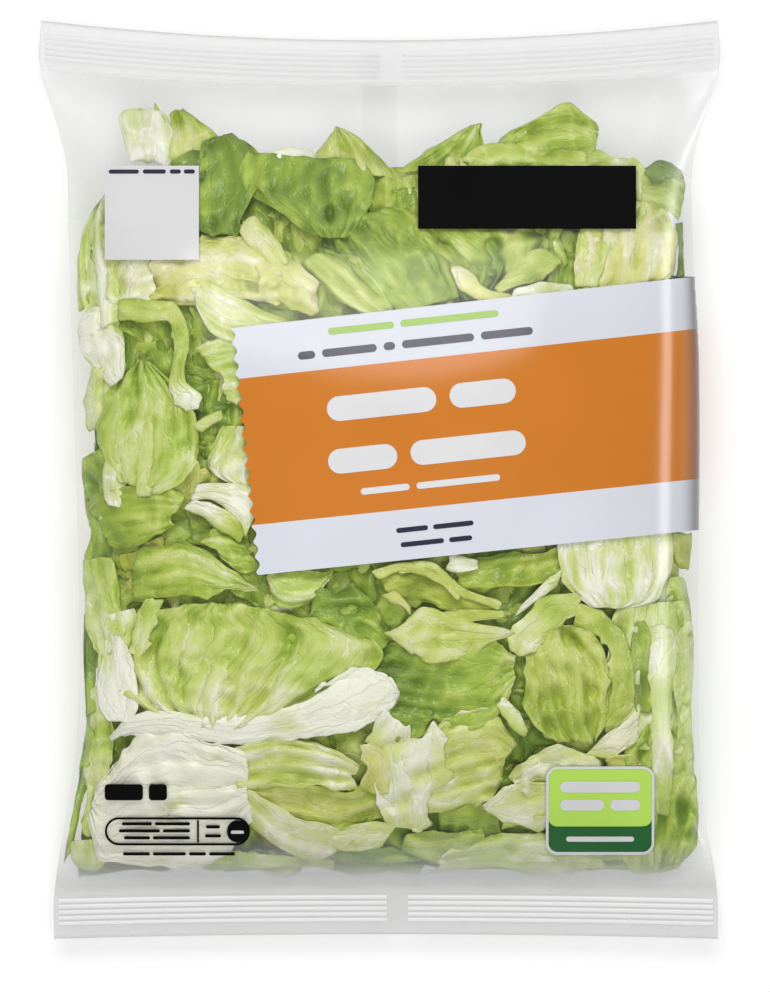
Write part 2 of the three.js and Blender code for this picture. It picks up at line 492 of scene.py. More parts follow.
seam_across = np.linspace(-SEAM_HALF_WIDTH, SEAM_HALF_WIDTH, SEAM_COLUMNS)
seam_rows, seam_x = np.meshgrid(film_rows(), seam_across, indexing="ij")
seam_top = film_skin(seam_rows, (seam_x - bag_middle(seam_rows)) / bag_half(seam_rows), -1)
seam_base = np.maximum(seam_top - (0, 0, SEAM_THICK), (-np.inf, -np.inf, 0))
seam_points, seam_faces = thin_solid(seam_top + (0, 0, SEAM_INSIDE), seam_base)
seam_finish = film_finish("seam film", SEAM_MILK, 0.3, tint=0.995)
seam = mesh_object("back_seam", seam_points, seam_faces, seam_finish)
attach(seam, "root")

# The leaves: cut and torn pieces of pale crisp lettuce, washed and still wet. Each is a thin solid
# sheet: cross lines from its base to its tip give its outline as the camera sees it, and folds,
# crumpling, veins and curled edges are pressed out of it. The film holds the ones in front flat.
PIXEL = 0.3456
MIDDLE_PIXEL = (379.5, 479.5)
EYE_HEIGHT = 3000
EYE_X, EYE_Y = 1.9, -5.7
SIDE_LEVEL = 30
SHEET_OF_LEAF = 0.5
FILM_GAP = 0.7
PRESS = 0.8
HELD_DOWN = 0.45
LOWEST_LEAF = -137
HIGHEST_LEAF = TOP_SEAL_LINE - 3
SIDE_ROOM = 0.957
FILLING_ROOM = 0.91
SIDE_WAVER = 0.006
SIDE_SOFTNESS = 0.036
SIDE_SLANT = 0.0012
SHOULDER = 0.125
EDGE_BUNCHING = 1.3
FOLD_GAIN = 1.45
CRUMPLE_GAIN = 1.7
CORNER_SHARE = 0.16
CORNER_DEPTH = 0.13


def keep_in_bag(x, y, depth, side, room, seed):
    """Puts leaf points at a depth under the front film (side 1) or over the back film (side -1)."""
    row, across = place_in_bag(x, y)
    size = np.abs(across)
    close = room - SIDE_WAVER * (1 - ripple(0 * y, y, 40, seed % 5)) - SIDE_SLANT * np.clip(depth, 0, 12)
    close = close - SHOULDER * ease(76, 110, row) * (across < 0)
    pressed = close + SIDE_SOFTNESS * np.tanh((size - close) / SIDE_SOFTNESS)
    across = np.sign(across) * np.where(size > close, pressed, size)
    lowest = LOWEST_LEAF + 2.6 * ripple(x, 0 * x, 30, seed % 7)
    row = np.clip(lowest + PRESS * 2 * np.logaddexp(0, (row - lowest) / (PRESS * 2)), None, HIGHEST_LEAF)
    x, y, top = film_at(row, across, 1)
    bottom = film_at(row, across, -1)[2]
    top, bottom = top - FILM_GAP, bottom + FILM_GAP
    z = top - depth if side > 0 else bottom + depth
    z = top - PRESS * np.logaddexp(0, (top - z) / PRESS)
    z = bottom + PRESS * np.logaddexp(0, (z - bottom) / PRESS)
    return np.stack([x, y, np.minimum(z, np.maximum(top, bottom))], -1)


def torn_edges(u, v, along, over, half, middle, reach, tear, arch, seed):
    """A leaf's x and y: its cross lines with worn sides, worn ends and an arched base and tip."""
    tear = tear * (0.3 + 1.1 * np.abs(ripple(along, 20 * np.sign(v), 50, seed + 15)))
    spikes = 1 - 2.6 * np.abs(ripple(along, 9 * np.sign(v), 15, seed + 2))
    ragged = tear * (1.3 * ripple(along, 13 * np.sign(v), 22, seed + 1) + 0.9 * spikes
                     + 0.35 * ripple(along, 9 * np.sign(v), 3.6, seed + 16))
    stretch = v * (1 + np.abs(v) ** 3 * ragged / np.maximum(half, 4))
    heading = np.gradient(middle, axis=0)
    heading = (heading / np.maximum(np.linalg.norm(heading, axis=-1, keepdims=True), 1e-6))[:, None, :]
    end_spikes = 1 - 2.6 * np.abs(ripple(over, 0 * over, 15, seed + 4))
    end_wear = tear * (1.3 * ripple(over, 0 * over, 22, seed + 3) + 0.9 * end_spikes
                       + 0.35 * ripple(over, 0 * over, 3.6, seed + 17))
    shift = u**6 * end_wear - (1 - u) ** 6 * end_wear[:, ::-1]
    shift = shift + (arch[1] * u**1.5 - arch[0] * (1 - u) ** 1.5) * (1 - v**2)
    flat = middle[:, None, :] + reach[:, None, :] * stretch[..., None] + heading * shift[..., None]
    return flat[..., 0], flat[..., 1]


def leaf_sheet(lines, depth, tone, warm=0.0, folds=(0, 0), crumple=1.2, ruffle=0.8, bulge=0.0,
               rib=(0, 0, 0), arch=(0, 0), tear=0.8, rim=0.06, curl=(0, 0), fold_stripe_and_shade=0.07, seed=0,
               step=0.9, side=1, room=SIDE_ROOM):
    """One leaf as points, faces, uv and the numbers its colour is made from.

    lines: left and right end of each cross line, base first, in millimetres.
    depth: of base and tip under the film. tone: of base and tip, 0 white to 1 deep green.
    folds: how many run from base to tip, and how high. rib: place across, half width, strength.
    arch and curl: how far base and tip bow out, and how far the left and right rims turn down.
    """
    lines = np.array(lines, float)
    knots = np.linspace(0, 1, len(lines))
    length = np.linalg.norm(np.diff(lines.mean(1), axis=0), axis=1).sum()
    breadth = np.linalg.norm(lines[:, 1] - lines[:, 0], axis=1).max()
    nu, nv = (int(np.clip(round(size / step), 10, 120)) for size in (length, breadth))
    shares = np.sin(np.linspace(-1, 1, nv) * EDGE_BUNCHING) / math.sin(EDGE_BUNCHING)
    u, v = np.meshgrid(np.linspace(0, 1, nu), shares, indexing="ij")
    ends = [[through(np.stack([knots, lines[:, e, axis]], 1), u[:, 0]) for axis in (0, 1)] for e in (0, 1)]
    left, right = (np.stack(e, -1) for e in ends)
    middle, reach = (left + right) / 2, (right - left) / 2
    from_end = np.minimum(u[:, :1], 1 - u[:, :1]) * length / (CORNER_SHARE * breadth)
    reach = reach * (1 - CORNER_DEPTH * np.clip(1 - from_end, 0, 1) ** 2)
    half = np.linalg.norm(reach, axis=-1)[:, None]
    along, over = u * length, v * half
    x, y = torn_edges(u, v, along, over, half, middle, reach, tear, arch, seed)

    # What is pressed out of the sheet: folds, crumpling, a frilled margin, a bulge, turned rims, a rib
    count, height = folds
    waver = 0.5 * ripple(along, over, 46, seed + 5)
    turn = math.pi * count * (v + 0.42 * waver + 0.12 * np.sin(2.2 * v + seed))
    swing = np.sin(turn + 0.6 * np.sin(turn)) + 0.34 * np.sin(2.3 * turn + 1.7 + seed)
    swing = swing + 0.2 * np.sin(4.7 * turn + 0.6)
    relief = FOLD_GAIN * height * swing * (0.35 + 0.65 * np.sin(math.pi * np.clip(0.15 + 0.8 * u, 0, 1)))
    relief = relief * (0.6 + 0.7 * ripple(along, over, 34, seed + 6))
    dents = np.abs(ripple(x, y, 26, seed + 7)) * 2.2 - 1
    creased = 1 - np.abs(ripple(x, y, 13, seed + 8)) * 2.4
    pleats = 1 - np.abs(ripple(over, 0.22 * along, 9, seed + 14)) * 2.4
    crush = 0.44 * dents + 0.44 * creased + 0.36 * pleats + 0.12 * ripple(x, y, 4.6, seed + 9)
    relief = relief + CRUMPLE_GAIN * crumple * crush
    margin = np.maximum(np.abs(v) ** 5, u**9)
    frill = 1.2 * ripple(along + 0.5 * np.abs(over), 17 * np.sign(v) + over, 17, seed + 10)
    relief = relief + ruffle * margin * (frill + 0.4 * ripple(x, y, 6, seed + 11))
    relief = relief + bulge * (1 - v**2) * np.sin(math.pi * np.clip(u, 0.02, 0.98)) ** 0.5
    rim_turn = (np.clip((np.abs(v) - 0.72) / 0.28, 0, 1) ** 2) * np.where(v < 0, curl[0], curl[1])
    relief = relief + rim_turn
    rib_place, rib_half, rib_strength = rib
    from_rib = (v - rib_place) * half / max(rib_half, 0.5)
    spine = rib_strength * np.exp(-(from_rib**2)) * (1 - 0.8 * u**1.5)
    relief = relief + 1.1 * spine * min(rib_half / 4, 1.4)

    level = depth[0] + (depth[1] - depth[0]) * u
    ceiling = HELD_DOWN * level
    below = ceiling + PRESS * np.logaddexp(0, (level - relief - ceiling) / PRESS)
    points = keep_in_bag(x, y, below, side, room, seed)
    normal = np.cross(np.gradient(points, axis=1), np.gradient(points, axis=0))
    normal /= np.maximum(np.linalg.norm(normal, axis=-1, keepdims=True), 1e-9)
    flip = normal[..., 2].mean() < 0
    if flip:
        normal = -normal
    thin_rim = np.minimum(1, 0.35 + 2.2 * (1 - np.abs(v)))
    thick = (SHEET_OF_LEAF / 2) * (1 + 1.6 * spine)[..., None] * thin_rim[..., None]
    solid_points, faces = thin_solid(points + normal * thick, points - normal * thick, flip)

    reach_up = 0.85 * u + 0.3 * np.abs(v - rib_place) * (rib_strength > 0)
    green = tone[0] + (tone[1] - tone[0]) * ease(0, 1, reach_up)
    # Folds and crumples make the colour paler on their ridges and greener and darker in their valleys: partly
    # the leaf's own colour, partly painted shade.
    green = green + rim * np.abs(v) ** 3 + 0.11 * ripple(x, y, 24, seed + 12) - fold_stripe_and_shade * swing * min(count, 1)
    green = green - (0.065 + 0.13 * green) * crush
    green = np.clip(green * (1 - 0.9 * np.clip(spine, 0, 1)), 0, 1)
    yellow = np.clip(warm + 0.12 * ripple(x, y, 34, seed + 13), 0, 1)
    uv = np.stack([(v * breadth / 2 + 0.5 * waver) / 100 + seed % 7, along / 100 + seed % 11], -1)
    return {
        "points": solid_points,
        "faces": faces,
        "uv": np.tile(uv.reshape(-1, 2), (2, 1)),
        "green": np.tile(green.ravel(), 2),
        "yellow": np.tile(yellow.ravel(), 2),
    }


def under_eye(x, y):
    """Where a point of the front really lies, which the camera sees at x, y in the sides' plane."""
    there_x, there_y = x, y
    for _ in range(3):
        row, across = place_in_bag(there_x, there_y)
        height = film_at(row, np.clip(across, -1, 1), 1)[2]
        nearer = (EYE_HEIGHT - height) / (EYE_HEIGHT - SIDE_LEVEL)
        there_x, there_y = EYE_X + (x - EYE_X) * nearer, EYE_Y + (y - EYE_Y) * nearer
    return there_x, there_y


def seen_at(point):
    """Where a pixel of the photograph lies on the front of the bag."""
    return under_eye((point[0] - MIDDLE_PIXEL[0]) * PIXEL, (MIDDLE_PIXEL[1] - point[1]) * PIXEL)


# Each leaf that the camera sees: its cross lines from base to tip, as pixels of the photograph, and
# its look. Where one leaf lies over another, it is nearer to the film.
# The deep dark-green pieces that lie low in the gaps between leaves carry painted shade in their tone.
LEAVES_IN_VIEW = [
    # along the top of the heap
    ([((128, 158), (172, 166)), ((119, 135), (176, 140)), ((120, 112), (168, 118)), ((136, 107), (156, 109))],
     dict(depth=(3, 5), tone=(0.1, 0.12), folds=(1, 1.2), crumple=1.2)),
    ([((160, 165), (215, 160)), ((158, 137), (224, 148)), ((164, 122), (212, 130)), ((176, 108), (184, 108))],
     dict(depth=(5, 6), tone=(0.3, 0.5), warm=0.3, crumple=2.2, ruffle=2, tear=2.2)),
    ([((156, 124), (167, 122)), ((155, 112), (160, 111)), ((153, 102), (155, 102))],
     dict(depth=(4, 4), tone=(0.4, 0.5), crumple=0.6, tear=0.4)),
    ([((172, 157), (172, 177)), ((188, 152), (188, 180)), ((204, 150), (206, 180))],
     dict(depth=(4, 3), tone=(0.82, 0.78), crumple=1.6)),
    ([((200, 147), (252, 143)), ((199, 180), (264, 172)), ((199, 214), (243, 212)), ((203, 234), (237, 235))],
     dict(depth=(2.2, 1.5), tone=(0.76, 0.68), folds=(2, 0.6), crumple=1.1, arch=(4, 0), rim=0, fold_stripe_and_shade=0.02)),
    ([((238, 152), (372, 160)), ((242, 186), (373, 192)), ((282, 214), (362, 222)), ((310, 237), (346, 239))],
     dict(depth=(1.0, 1.4), tone=(0.7, 0.68), folds=(4, 1.2), crumple=1.2, rim=0, fold_stripe_and_shade=0.03)),
    ([((262, 152), (266, 162)), ((288, 144), (290, 164)), ((314, 150), (316, 162))],
     dict(depth=(4, 4), tone=(0.05, 0.05), bulge=1.5, crumple=0.5)),
    ([((312, 162), (398, 180)), ((326, 140), (370, 149)), ((334, 126), (343, 127))],
     dict(depth=(3.5, 5), tone=(0.42, 0.34), warm=0.3, folds=(2, 1.2))),
    ([((368, 232), (446, 214)), ((370, 192), (430, 180)), ((374, 166), (410, 166))],
     dict(depth=(4.5, 6), tone=(0.52, 0.48), warm=0.2, folds=(3, 1.2))),
    ([((396, 170), (484, 172)), ((428, 150), (484, 148)), ((470, 124), (483, 122))],
     dict(depth=(3, 5), tone=(0.56, 0.55), warm=0.15, folds=(2, 1.4), curl=(0, 2))),
    ([((438, 170), (474, 172)), ((447, 155), (459, 154))],
     dict(depth=(2.4, 2.6), tone=(0.2, 0.22), warm=0.7, crumple=0.8)),
    ([((495, 146), (505, 162)), ((520, 120), (530, 164)), ((560, 103), (566, 162)), ((590, 117), (592, 151)),
      ((599, 126), (597, 140))],
     dict(depth=(2, 3), tone=(0.5, 0.44), warm=0.2, folds=(2, 2.2), crumple=1.4, bulge=2)),
    ([((462, 160), (468, 174)), ((480, 145), (490, 177)), ((530, 145), (535, 177)), ((588, 150), (592, 177))],
     dict(depth=(1.2, 1.5), tone=(0.4, 0.45), warm=0.2, folds=(2, 1.4), bulge=1.5)),
    ([((574, 152), (580, 180)), ((605, 149), (612, 182)), ((636, 158), (630, 205)), ((656, 190), (634, 238))],
     dict(depth=(2, 2), tone=(0.34, 0.26), warm=0.15, crumple=1.8, tear=1.2)),
    ([((640, 172), (640, 202)), ((662, 162), (668, 216)), ((690, 182), (684, 216))],
     dict(depth=(3, 4), tone=(0.5, 0.42), warm=0.2, crumple=1.8)),
    ([((644, 168), (652, 182)), ((662, 160), (668, 176)), ((680, 168), (684, 178))],
     dict(depth=(2, 2.5), tone=(0.86, 0.84), crumple=1.4, tear=1)),
    ([((574, 286), (672, 281)), ((578, 252), (678, 245)), ((582, 225), (672, 220)), ((606, 200), (655, 202))],
     dict(depth=(1.4, 2.5), tone=(0.18, 0.25), warm=0.8, folds=(4, 1.7), crumple=1.8, arch=(4, 0))),
    ([((573, 286), (598, 292)), ((577, 248), (610, 252)), ((582, 225), (612, 228))],
     dict(depth=(1, 1.2), tone=(0.2, 0.26), warm=0.3, crumple=0.7)),
    ([((676, 222), (686, 221)), ((680, 250), (691, 250)), ((676, 279), (688, 276))],
     dict(depth=(7, 7), tone=(0.82, 0.82))),
    # under the date panel and over the label
    ([((90, 334), (118, 322)), ((78, 284), (117, 278)), ((75, 242), (108, 236)), ((84, 208), (108, 202)),
      ((100, 190), (114, 188))],
     dict(depth=(2.4, 5), tone=(0.1, 0.24), folds=(2, 1.5), rim=0.2)),
    ([((77, 312), (90, 306)), ((72, 272), (84, 268)), ((74, 250), (80, 250))],
     dict(depth=(4, 4), tone=(0.34, 0.42))),
    ([((106, 306), (152, 304)), ((106, 262), (154, 262)), ((110, 230), (150, 230))],
     dict(depth=(3, 3), tone=(0.1, 0.12), warm=0.4, folds=(1, 0.8))),
    ([((146, 262), (154, 308)), ((190, 245), (200, 302)), ((235, 240), (245, 300)), ((278, 255), (282, 306))],
     dict(depth=(3, 3.6), tone=(0.22, 0.2), warm=0.9, folds=(3, 2), crumple=2, ruffle=1.6)),
    ([((200, 230), (198, 264)), ((235, 235), (238, 274)), ((270, 250), (272, 288)), ((282, 262), (280, 286))],
     dict(depth=(1.8, 2), tone=(0.2, 0.28), warm=0.8, folds=(2, 1.2), crumple=1.6, ruffle=1.8)),
    ([((252, 262), (258, 300)), ((275, 250), (285, 306)), ((300, 260), (306, 312)), ((322, 280), (320, 314))],
     dict(depth=(2, 3), tone=(0.26, 0.3), warm=1.0, crumple=2.4, ruffle=1.6)),
    ([((243, 221), (240, 233)), ((256, 217), (251, 246)), ((276, 240), (268, 263)), ((289, 262), (282, 266))],
     dict(depth=(1, 1.4), tone=(0.14, 0.22), warm=0.45, bulge=1.5, crumple=0.7)),
    ([((236, 192), (308, 200)), ((243, 225), (320, 235)), ((255, 264), (338, 264))],
     dict(depth=(7, 6), tone=(0.8, 0.72), warm=0.3, bulge=-3, folds=(2, 1))),
    ([((300, 262), (330, 248)), ((318, 285), (354, 256)), ((342, 302), (374, 282)), ((370, 318), (396, 314))],
     dict(depth=(1.4, 1.6), tone=(0.36, 0.38), warm=0.3, folds=(2, 1.6), curl=(1, 0))),
    ([((322, 222), (402, 205)), ((340, 252), (432, 225)), ((375, 292), (452, 262)), ((400, 314), (464, 296))],
     dict(depth=(2.6, 3), tone=(0.72, 0.54), warm=0.2, folds=(3, 1.5), crumple=1.2)),
    ([((385, 190), (472, 180)), ((395, 225), (480, 220)), ((430, 264), (502, 262)), ((446, 296), (482, 304))],
     dict(depth=(3.8, 5), tone=(0.62, 0.64), warm=0.15, folds=(4, 1.4), crumple=1.4)),
    ([((420, 215), (560, 205)), ((440, 238), (565, 236)), ((468, 262), (548, 264)), ((480, 284), (530, 286))],
     dict(depth=(2.4, 3), tone=(0.56, 0.62), warm=0.2, folds=(3, 1.2), crumple=2.6, ruffle=2.2, tear=1.6)),
    ([((494, 292), (514, 262)), ((520, 286), (545, 248)), ((548, 280), (562, 258))],
     dict(depth=(1.4, 1.8), tone=(0.36, 0.44), warm=0.35, bulge=1.8, crumple=1)),
    ([((514, 236), (590, 232)), ((508, 262), (586, 262)), ((505, 292), (580, 292))],
     dict(depth=(9, 9), tone=(0.9, 0.94), warm=0.2, crumple=2.4)),
    ([((545, 232), (592, 230)), ((550, 262), (585, 262)), ((545, 296), (577, 294))],
     dict(depth=(4.5, 5), tone=(0.64, 0.72), warm=0.25, bulge=-2)),
    ([((451, 268), (461, 266)), ((460, 288), (474, 276)), ((480, 302), (492, 288)), ((504, 308), (512, 294))],
     dict(depth=(1, 1.2), tone=(0.22, 0.26), warm=1.0, bulge=2, crumple=0.5)),
    ([((508, 308), (514, 288)), ((540, 306), (542, 283)), ((576, 304), (572, 286))],
     dict(depth=(1.4, 1.4), tone=(0.03, 0.04), crumple=0.7)),
    # left of the label
    ([((110, 388), (125, 380)), ((80, 352), (125, 346)), ((75, 330), (114, 312)), ((92, 304), (110, 306))],
     dict(depth=(2, 4), tone=(0.06, 0.1), crumple=2.2)),
    ([((86, 432), (120, 424)), ((84, 396), (124, 390)), ((92, 366), (126, 362))],
     dict(depth=(4.6, 4.6), tone=(0.2, 0.12), folds=(2, 1))),
    ([((118, 300), (116, 320)), ((145, 301), (145, 321)), ((174, 304), (165, 324)), ((189, 330), (172, 338)),
      ((189, 354), (174, 352))],
     dict(depth=(1.2, 1.4), tone=(0.36, 0.34), warm=0.2, bulge=2.6, crumple=0.8)),
    ([((175, 345), (189, 345)), ((169, 380), (185, 378)), ((171, 402), (202, 392)), ((182, 412), (198, 408))],
     dict(depth=(1, 1), tone=(0.26, 0.04), bulge=2.6, crumple=0.6)),
    ([((118, 318), (174, 320)), ((124, 350), (174, 352)), ((118, 388), (170, 388))],
     dict(depth=(8, 7), tone=(0.78, 0.74), warm=0.2, bulge=-2, folds=(2, 1))),
    ([((112, 478), (160, 497)), ((100, 452), (194, 470)), ((97, 425), (198, 440)), ((107, 395), (190, 405)),
      ((124, 372), (166, 378)), ((137, 359), (149, 361))],
     dict(depth=(1, 3), tone=(0.36, 0.42), folds=(5, 1.6), crumple=0.9, bulge=2, tear=1)),
    ([((108, 506), (120, 507)), ((103, 494), (124, 496)), ((102, 474), (125, 476)), ((106, 458), (118, 459))],
     dict(depth=(0.9, 1.2), tone=(0.12, 0.24), bulge=1, tear=0.4)),
    ([((136, 497), (152, 495)), ((137, 460), (155, 460)), ((142, 430), (153, 428)), ((145, 420), (150, 419))],
     dict(depth=(0.8, 1.2), tone=(0.26, 0.3), bulge=2.4, crumple=0.4, tear=0.3)),
    ([((76, 498), (112, 500)), ((73, 484), (112, 476)), ((74, 463), (108, 456)), ((88, 456), (102, 448))],
     dict(depth=(3, 4), tone=(0.6, 0.56), crumple=1.8, tear=1)),
    ([((84, 502), (110, 548)), ((110, 488), (128, 547)), ((150, 486), (150, 542)), ((187, 494), (170, 532))],
     dict(depth=(1.6, 1.6), tone=(0.64, 0.46), warm=0.3, folds=(6, 0.6), crumple=0.8, fold_stripe_and_shade=0.06)),
    ([((189, 502), (196, 484)), ((215, 502), (221, 483)), ((240, 522), (254, 486)), ((245, 538), (262, 502))],
     dict(depth=(1, 1), tone=(0.02, 0.24), bulge=2, crumple=0.5)),
    ([((183, 509), (190, 499)), ((202, 514), (208, 503)), ((225, 532), (232, 512)), ((242, 544), (248, 527))],
     dict(depth=(1.6, 1.6), tone=(0.03, 0.4), warm=0.3, bulge=1.6, crumple=0.5)),
    ([((186, 508), (196, 545)), ((215, 514), (222, 552)), ((244, 530), (254, 556))],
     dict(depth=(6, 5), tone=(0.7, 0.74), warm=0.4, bulge=-1)),
    ([((194, 337), (230, 408)), ((216, 335), (242, 404)), ((248, 330), (256, 402))],
     dict(depth=(1.6, 1.2), tone=(0.26, 0.22), folds=(5, 0.7), tear=1.8, crumple=0.7)),
    ([((189, 286), (193, 302)), ((200, 281), (206, 326)), ((226, 290), (228, 342)), ((256, 305), (250, 347)),
      ((290, 322), (278, 348))],
     dict(depth=(1, 1.2), tone=(0.2, 0.26), warm=0.3, folds=(3, 1), crumple=0.6)),
    ([((221, 423), (254, 424)), ((211, 450), (254, 452)), ((207, 468), (254, 480)), ((228, 484), (254, 492))],
     dict(depth=(1.4, 1.4), tone=(0.22, 0.14), folds=(3, 1.2), crumple=1)),
    ([((191, 425), (201, 433)), ((209, 414), (214, 425)), ((221, 409), (223, 416))],
     dict(depth=(1.2, 1.2), tone=(0.26, 0.3), bulge=1, crumple=0.4)),
    ([((180, 362), (207, 348)), ((183, 400), (228, 385)), ((198, 444), (236, 424))],
     dict(depth=(8, 9), tone=(0.84, 0.9), crumple=2.2)),
    ([((204, 380), (244, 378)), ((198, 420), (242, 430)), ((200, 456), (230, 460))],
     dict(depth=(5.5, 7), tone=(0.68, 0.74), folds=(3, 1.2), crumple=1.6)),
    ([((156, 503), (180, 513)), ((172, 480), (204, 492)), ((193, 450), (218, 474))],
     dict(depth=(2.6, 2.6), tone=(0.42, 0.38), warm=0.8, crumple=2, ruffle=1.8, tear=1.5)),
    ([((118, 556), (164, 534)), ((122, 574), (170, 556))],
     dict(depth=(5, 5), tone=(0.5, 0.62), warm=1.0, bulge=-1)),
    ([((78, 566), (114, 566)), ((88, 532), (112, 524)), ((83, 498), (104, 496))],
     dict(depth=(4, 5), tone=(0.66, 0.66), folds=(2, 1))),
    # the middle, under the label
    ([((132, 560), (134, 604)), ((150, 550), (160, 600)), ((182, 538), (190, 594)), ((226, 566), (225, 594)),
      ((256, 587), (256, 591))],
     dict(depth=(1.4, 1.6), tone=(0.6, 0.26), warm=0.2, folds=(3, 1), crumple=1.2, ruffle=1)),
    ([((194, 538), (222, 558)), ((214, 530), (242, 574)), ((242, 540), (262, 568))],
     dict(depth=(2.6, 2.4), tone=(0.42, 0.52), warm=0.25, folds=(2, 1), crumple=1.3)),
    ([((226, 572), (264, 556)), ((240, 604), (286, 600)), ((250, 622), (290, 618))],
     dict(depth=(6, 6), tone=(0.76, 0.8), warm=0.3)),
    ([((172, 726), (255, 730)), ((130, 700), (306, 714)), ((122, 668), (352, 684)), ((128, 634), (386, 650)),
      ((142, 606), (362, 634))],
     dict(depth=(1, 1.6), tone=(0.17, 0.46), warm=0.12, folds=(7, 2), crumple=1.1, arch=(0, 5), fold_stripe_and_shade=0.06)),
    ([((108, 722), (130, 722)), ((97, 704), (138, 706)), ((98, 678), (136, 674)), ((104, 652), (128, 648)),
      ((110, 636), (118, 634))],
     dict(depth=(0.9, 1), tone=(0.03, 0.08), crumple=0.7, tear=0.35, rim=0)),
    ([((109, 736), (111, 742)), ((135, 714), (134, 736)), ((190, 712), (190, 740)), ((228, 718), (236, 744)),
      ((300, 704), (300, 740)), ((350, 676), (352, 732)), ((386, 676), (386, 714)), ((400, 692), (398, 700))],
     dict(depth=(1.8, 1), tone=(-0.04, 0), bulge=3, crumple=0.7, rim=0)),
    ([((314, 694), (322, 682)), ((350, 669), (352, 692)), ((388, 675), (387, 694))],
     dict(depth=(0.8, 0.8), tone=(0.02, 0.02), crumple=0.4, rim=0)),
    ([((98, 656), (116, 654)), ((86, 636), (126, 632)), ((78, 600), (122, 600)), ((76, 560), (114, 556))],
     dict(depth=(2, 3), tone=(0.26, 0.34), folds=(3, 1.6), tear=0.5)),
    ([((98, 692), (134, 690)), ((98, 655), (137, 650)), ((94, 620), (136, 608))],
     dict(depth=(2.6, 3), tone=(0.14, 0.16), folds=(4, 1.5), tear=0.5)),
    ([((128, 652), (133, 645)), ((140, 655), (142, 648)), ((151, 645), (147, 640))],
     dict(depth=(0.8, 0.8), tone=(0.2, 0.2), warm=1.0, crumple=0.3)),
    ([((133, 650), (148, 647)), ((136, 620), (158, 618)), ((140, 603), (164, 600))],
     dict(depth=(1, 1), tone=(0.28, 0.3), bulge=1, crumple=0.6)),
    ([((70, 712), (98, 712)), ((70, 660), (99, 656)), ((72, 612), (102, 610))],
     dict(depth=(5, 6), tone=(0.72, 0.78), folds=(2, 1.4))),
    ([((266, 578), (272, 570)), ((278, 604), (292, 572)), ((310, 602), (322, 572)), ((328, 582), (334, 570))],
     dict(depth=(1.8, 1.8), tone=(0.3, 0.28), folds=(2, 1), crumple=1)),
    ([((328, 572), (376, 568)), ((322, 604), (376, 604))],
     dict(depth=(6, 6), tone=(0.76, 0.8), warm=0.3)),
    ([((298, 642), (316, 590)), ((330, 650), (345, 585)), ((362, 648), (370, 600)), ((387, 652), (390, 634))],
     dict(depth=(2.8, 2.4), tone=(0.68, 0.62), crumple=2.8, ruffle=2, tear=1.6)),
    ([((372, 571), (377, 580)), ((405, 562), (405, 572)), ((440, 573), (437, 583)), ((463, 594), (457, 601))],
     dict(depth=(0.9, 0.9), tone=(0.34, 0.36), warm=0.45, bulge=1.6, crumple=0.4)),
    ([((395, 564), (400, 574)), ((430, 561), (432, 571)), ((461, 584), (457, 594)), ((502, 603), (499, 611))],
     dict(depth=(0.9, 0.9), tone=(0.32, 0.36), warm=0.45, bulge=1.6, crumple=0.4)),
    ([((376, 578), (398, 604)), ((410, 570), (425, 608)), ((450, 588), (455, 614)), ((497, 606), (493, 614))],
     dict(depth=(4.5, 3), tone=(0.64, 0.68), warm=0.6, bulge=-1)),
    ([((456, 592), (468, 558)), ((500, 590), (512, 554)), ((540, 584), (548, 550)), ((572, 572), (574, 546))],
     dict(depth=(2.4, 3), tone=(0.56, 0.6), warm=0.35, bulge=-2, folds=(2, 1))),
    ([((450, 570), (453, 556)), ((463, 572), (465, 556)), ((475, 569), (476, 560))],
     dict(depth=(1.6, 1.6), tone=(0.1, 0.14), crumple=0.6)),
    ([((382, 632), (392, 637)), ((402, 622), (415, 657)), ((428, 607), (428, 659)), ((466, 621), (470, 651)),
      ((512, 632), (510, 637))],
     dict(depth=(0.9, 1), tone=(0.26, 0.32), warm=0.3, bulge=2, crumple=1, curl=(0, -1))),
    ([((436, 612), (447, 621)), ((470, 609), (475, 623)), ((504, 611), (505, 618))],
     dict(depth=(1.6, 1.4), tone=(0.34, 0.36), warm=0.3, bulge=1, crumple=0.5)),
    ([((381, 594), (386, 601)), ((395, 591), (402, 607)), ((412, 608), (410, 614))],
     dict(depth=(0.9, 0.9), tone=(0.28, 0.3), warm=0.7, bulge=1.6, crumple=0.4)),
    # Its deep green base is partly painted shade, where it dips under the leaves around it.
    ([((362, 648), (366, 705)), ((395, 644), (400, 724)), ((440, 640), (445, 728)), ((486, 636), (489, 724)),
      ((515, 650), (514, 692))],
     dict(depth=(5, 1.2), tone=(0.84, 0.28), folds=(5, 1), crumple=1, fold_stripe_and_shade=0.04)),
    ([((372, 738), (385, 700)), ((405, 743), (410, 704)), ((436, 730), (434, 712))],
     dict(depth=(2.6, 2.2), tone=(0.66, 0.62), crumple=2, tear=1.6, ruffle=1.5)),
    ([((497, 706), (507, 699)), ((505, 722), (519, 714)), ((521, 734), (528, 729))],
     dict(depth=(0.9, 0.9), tone=(0.14, 0.2), bulge=1.4, crumple=0.4)),
    ([((558, 748), (607, 741)), ((528, 712), (611, 700)), ((520, 670), (609, 664)), ((528, 640), (590, 634)),
      ((550, 625), (576, 623))],
     dict(depth=(1.2, 1.4), tone=(0.42, 0.44), warm=0.45, folds=(3, 1.4), crumple=2.4, ruffle=1.4,
          fold_stripe_and_shade=0.03)),
    ([((507, 652), (531, 657)), ((511, 624), (546, 641)), ((540, 599), (566, 622)), ((577, 589), (582, 612))],
     dict(depth=(1, 1), tone=(0.26, 0.3), warm=0.15, bulge=2.6, crumple=0.6)),
    ([((577, 602), (573, 626)), ((611, 617), (596, 641)), ((634, 655), (607, 666)), ((636, 696), (607, 701)),
      ((619, 728), (602, 727))],
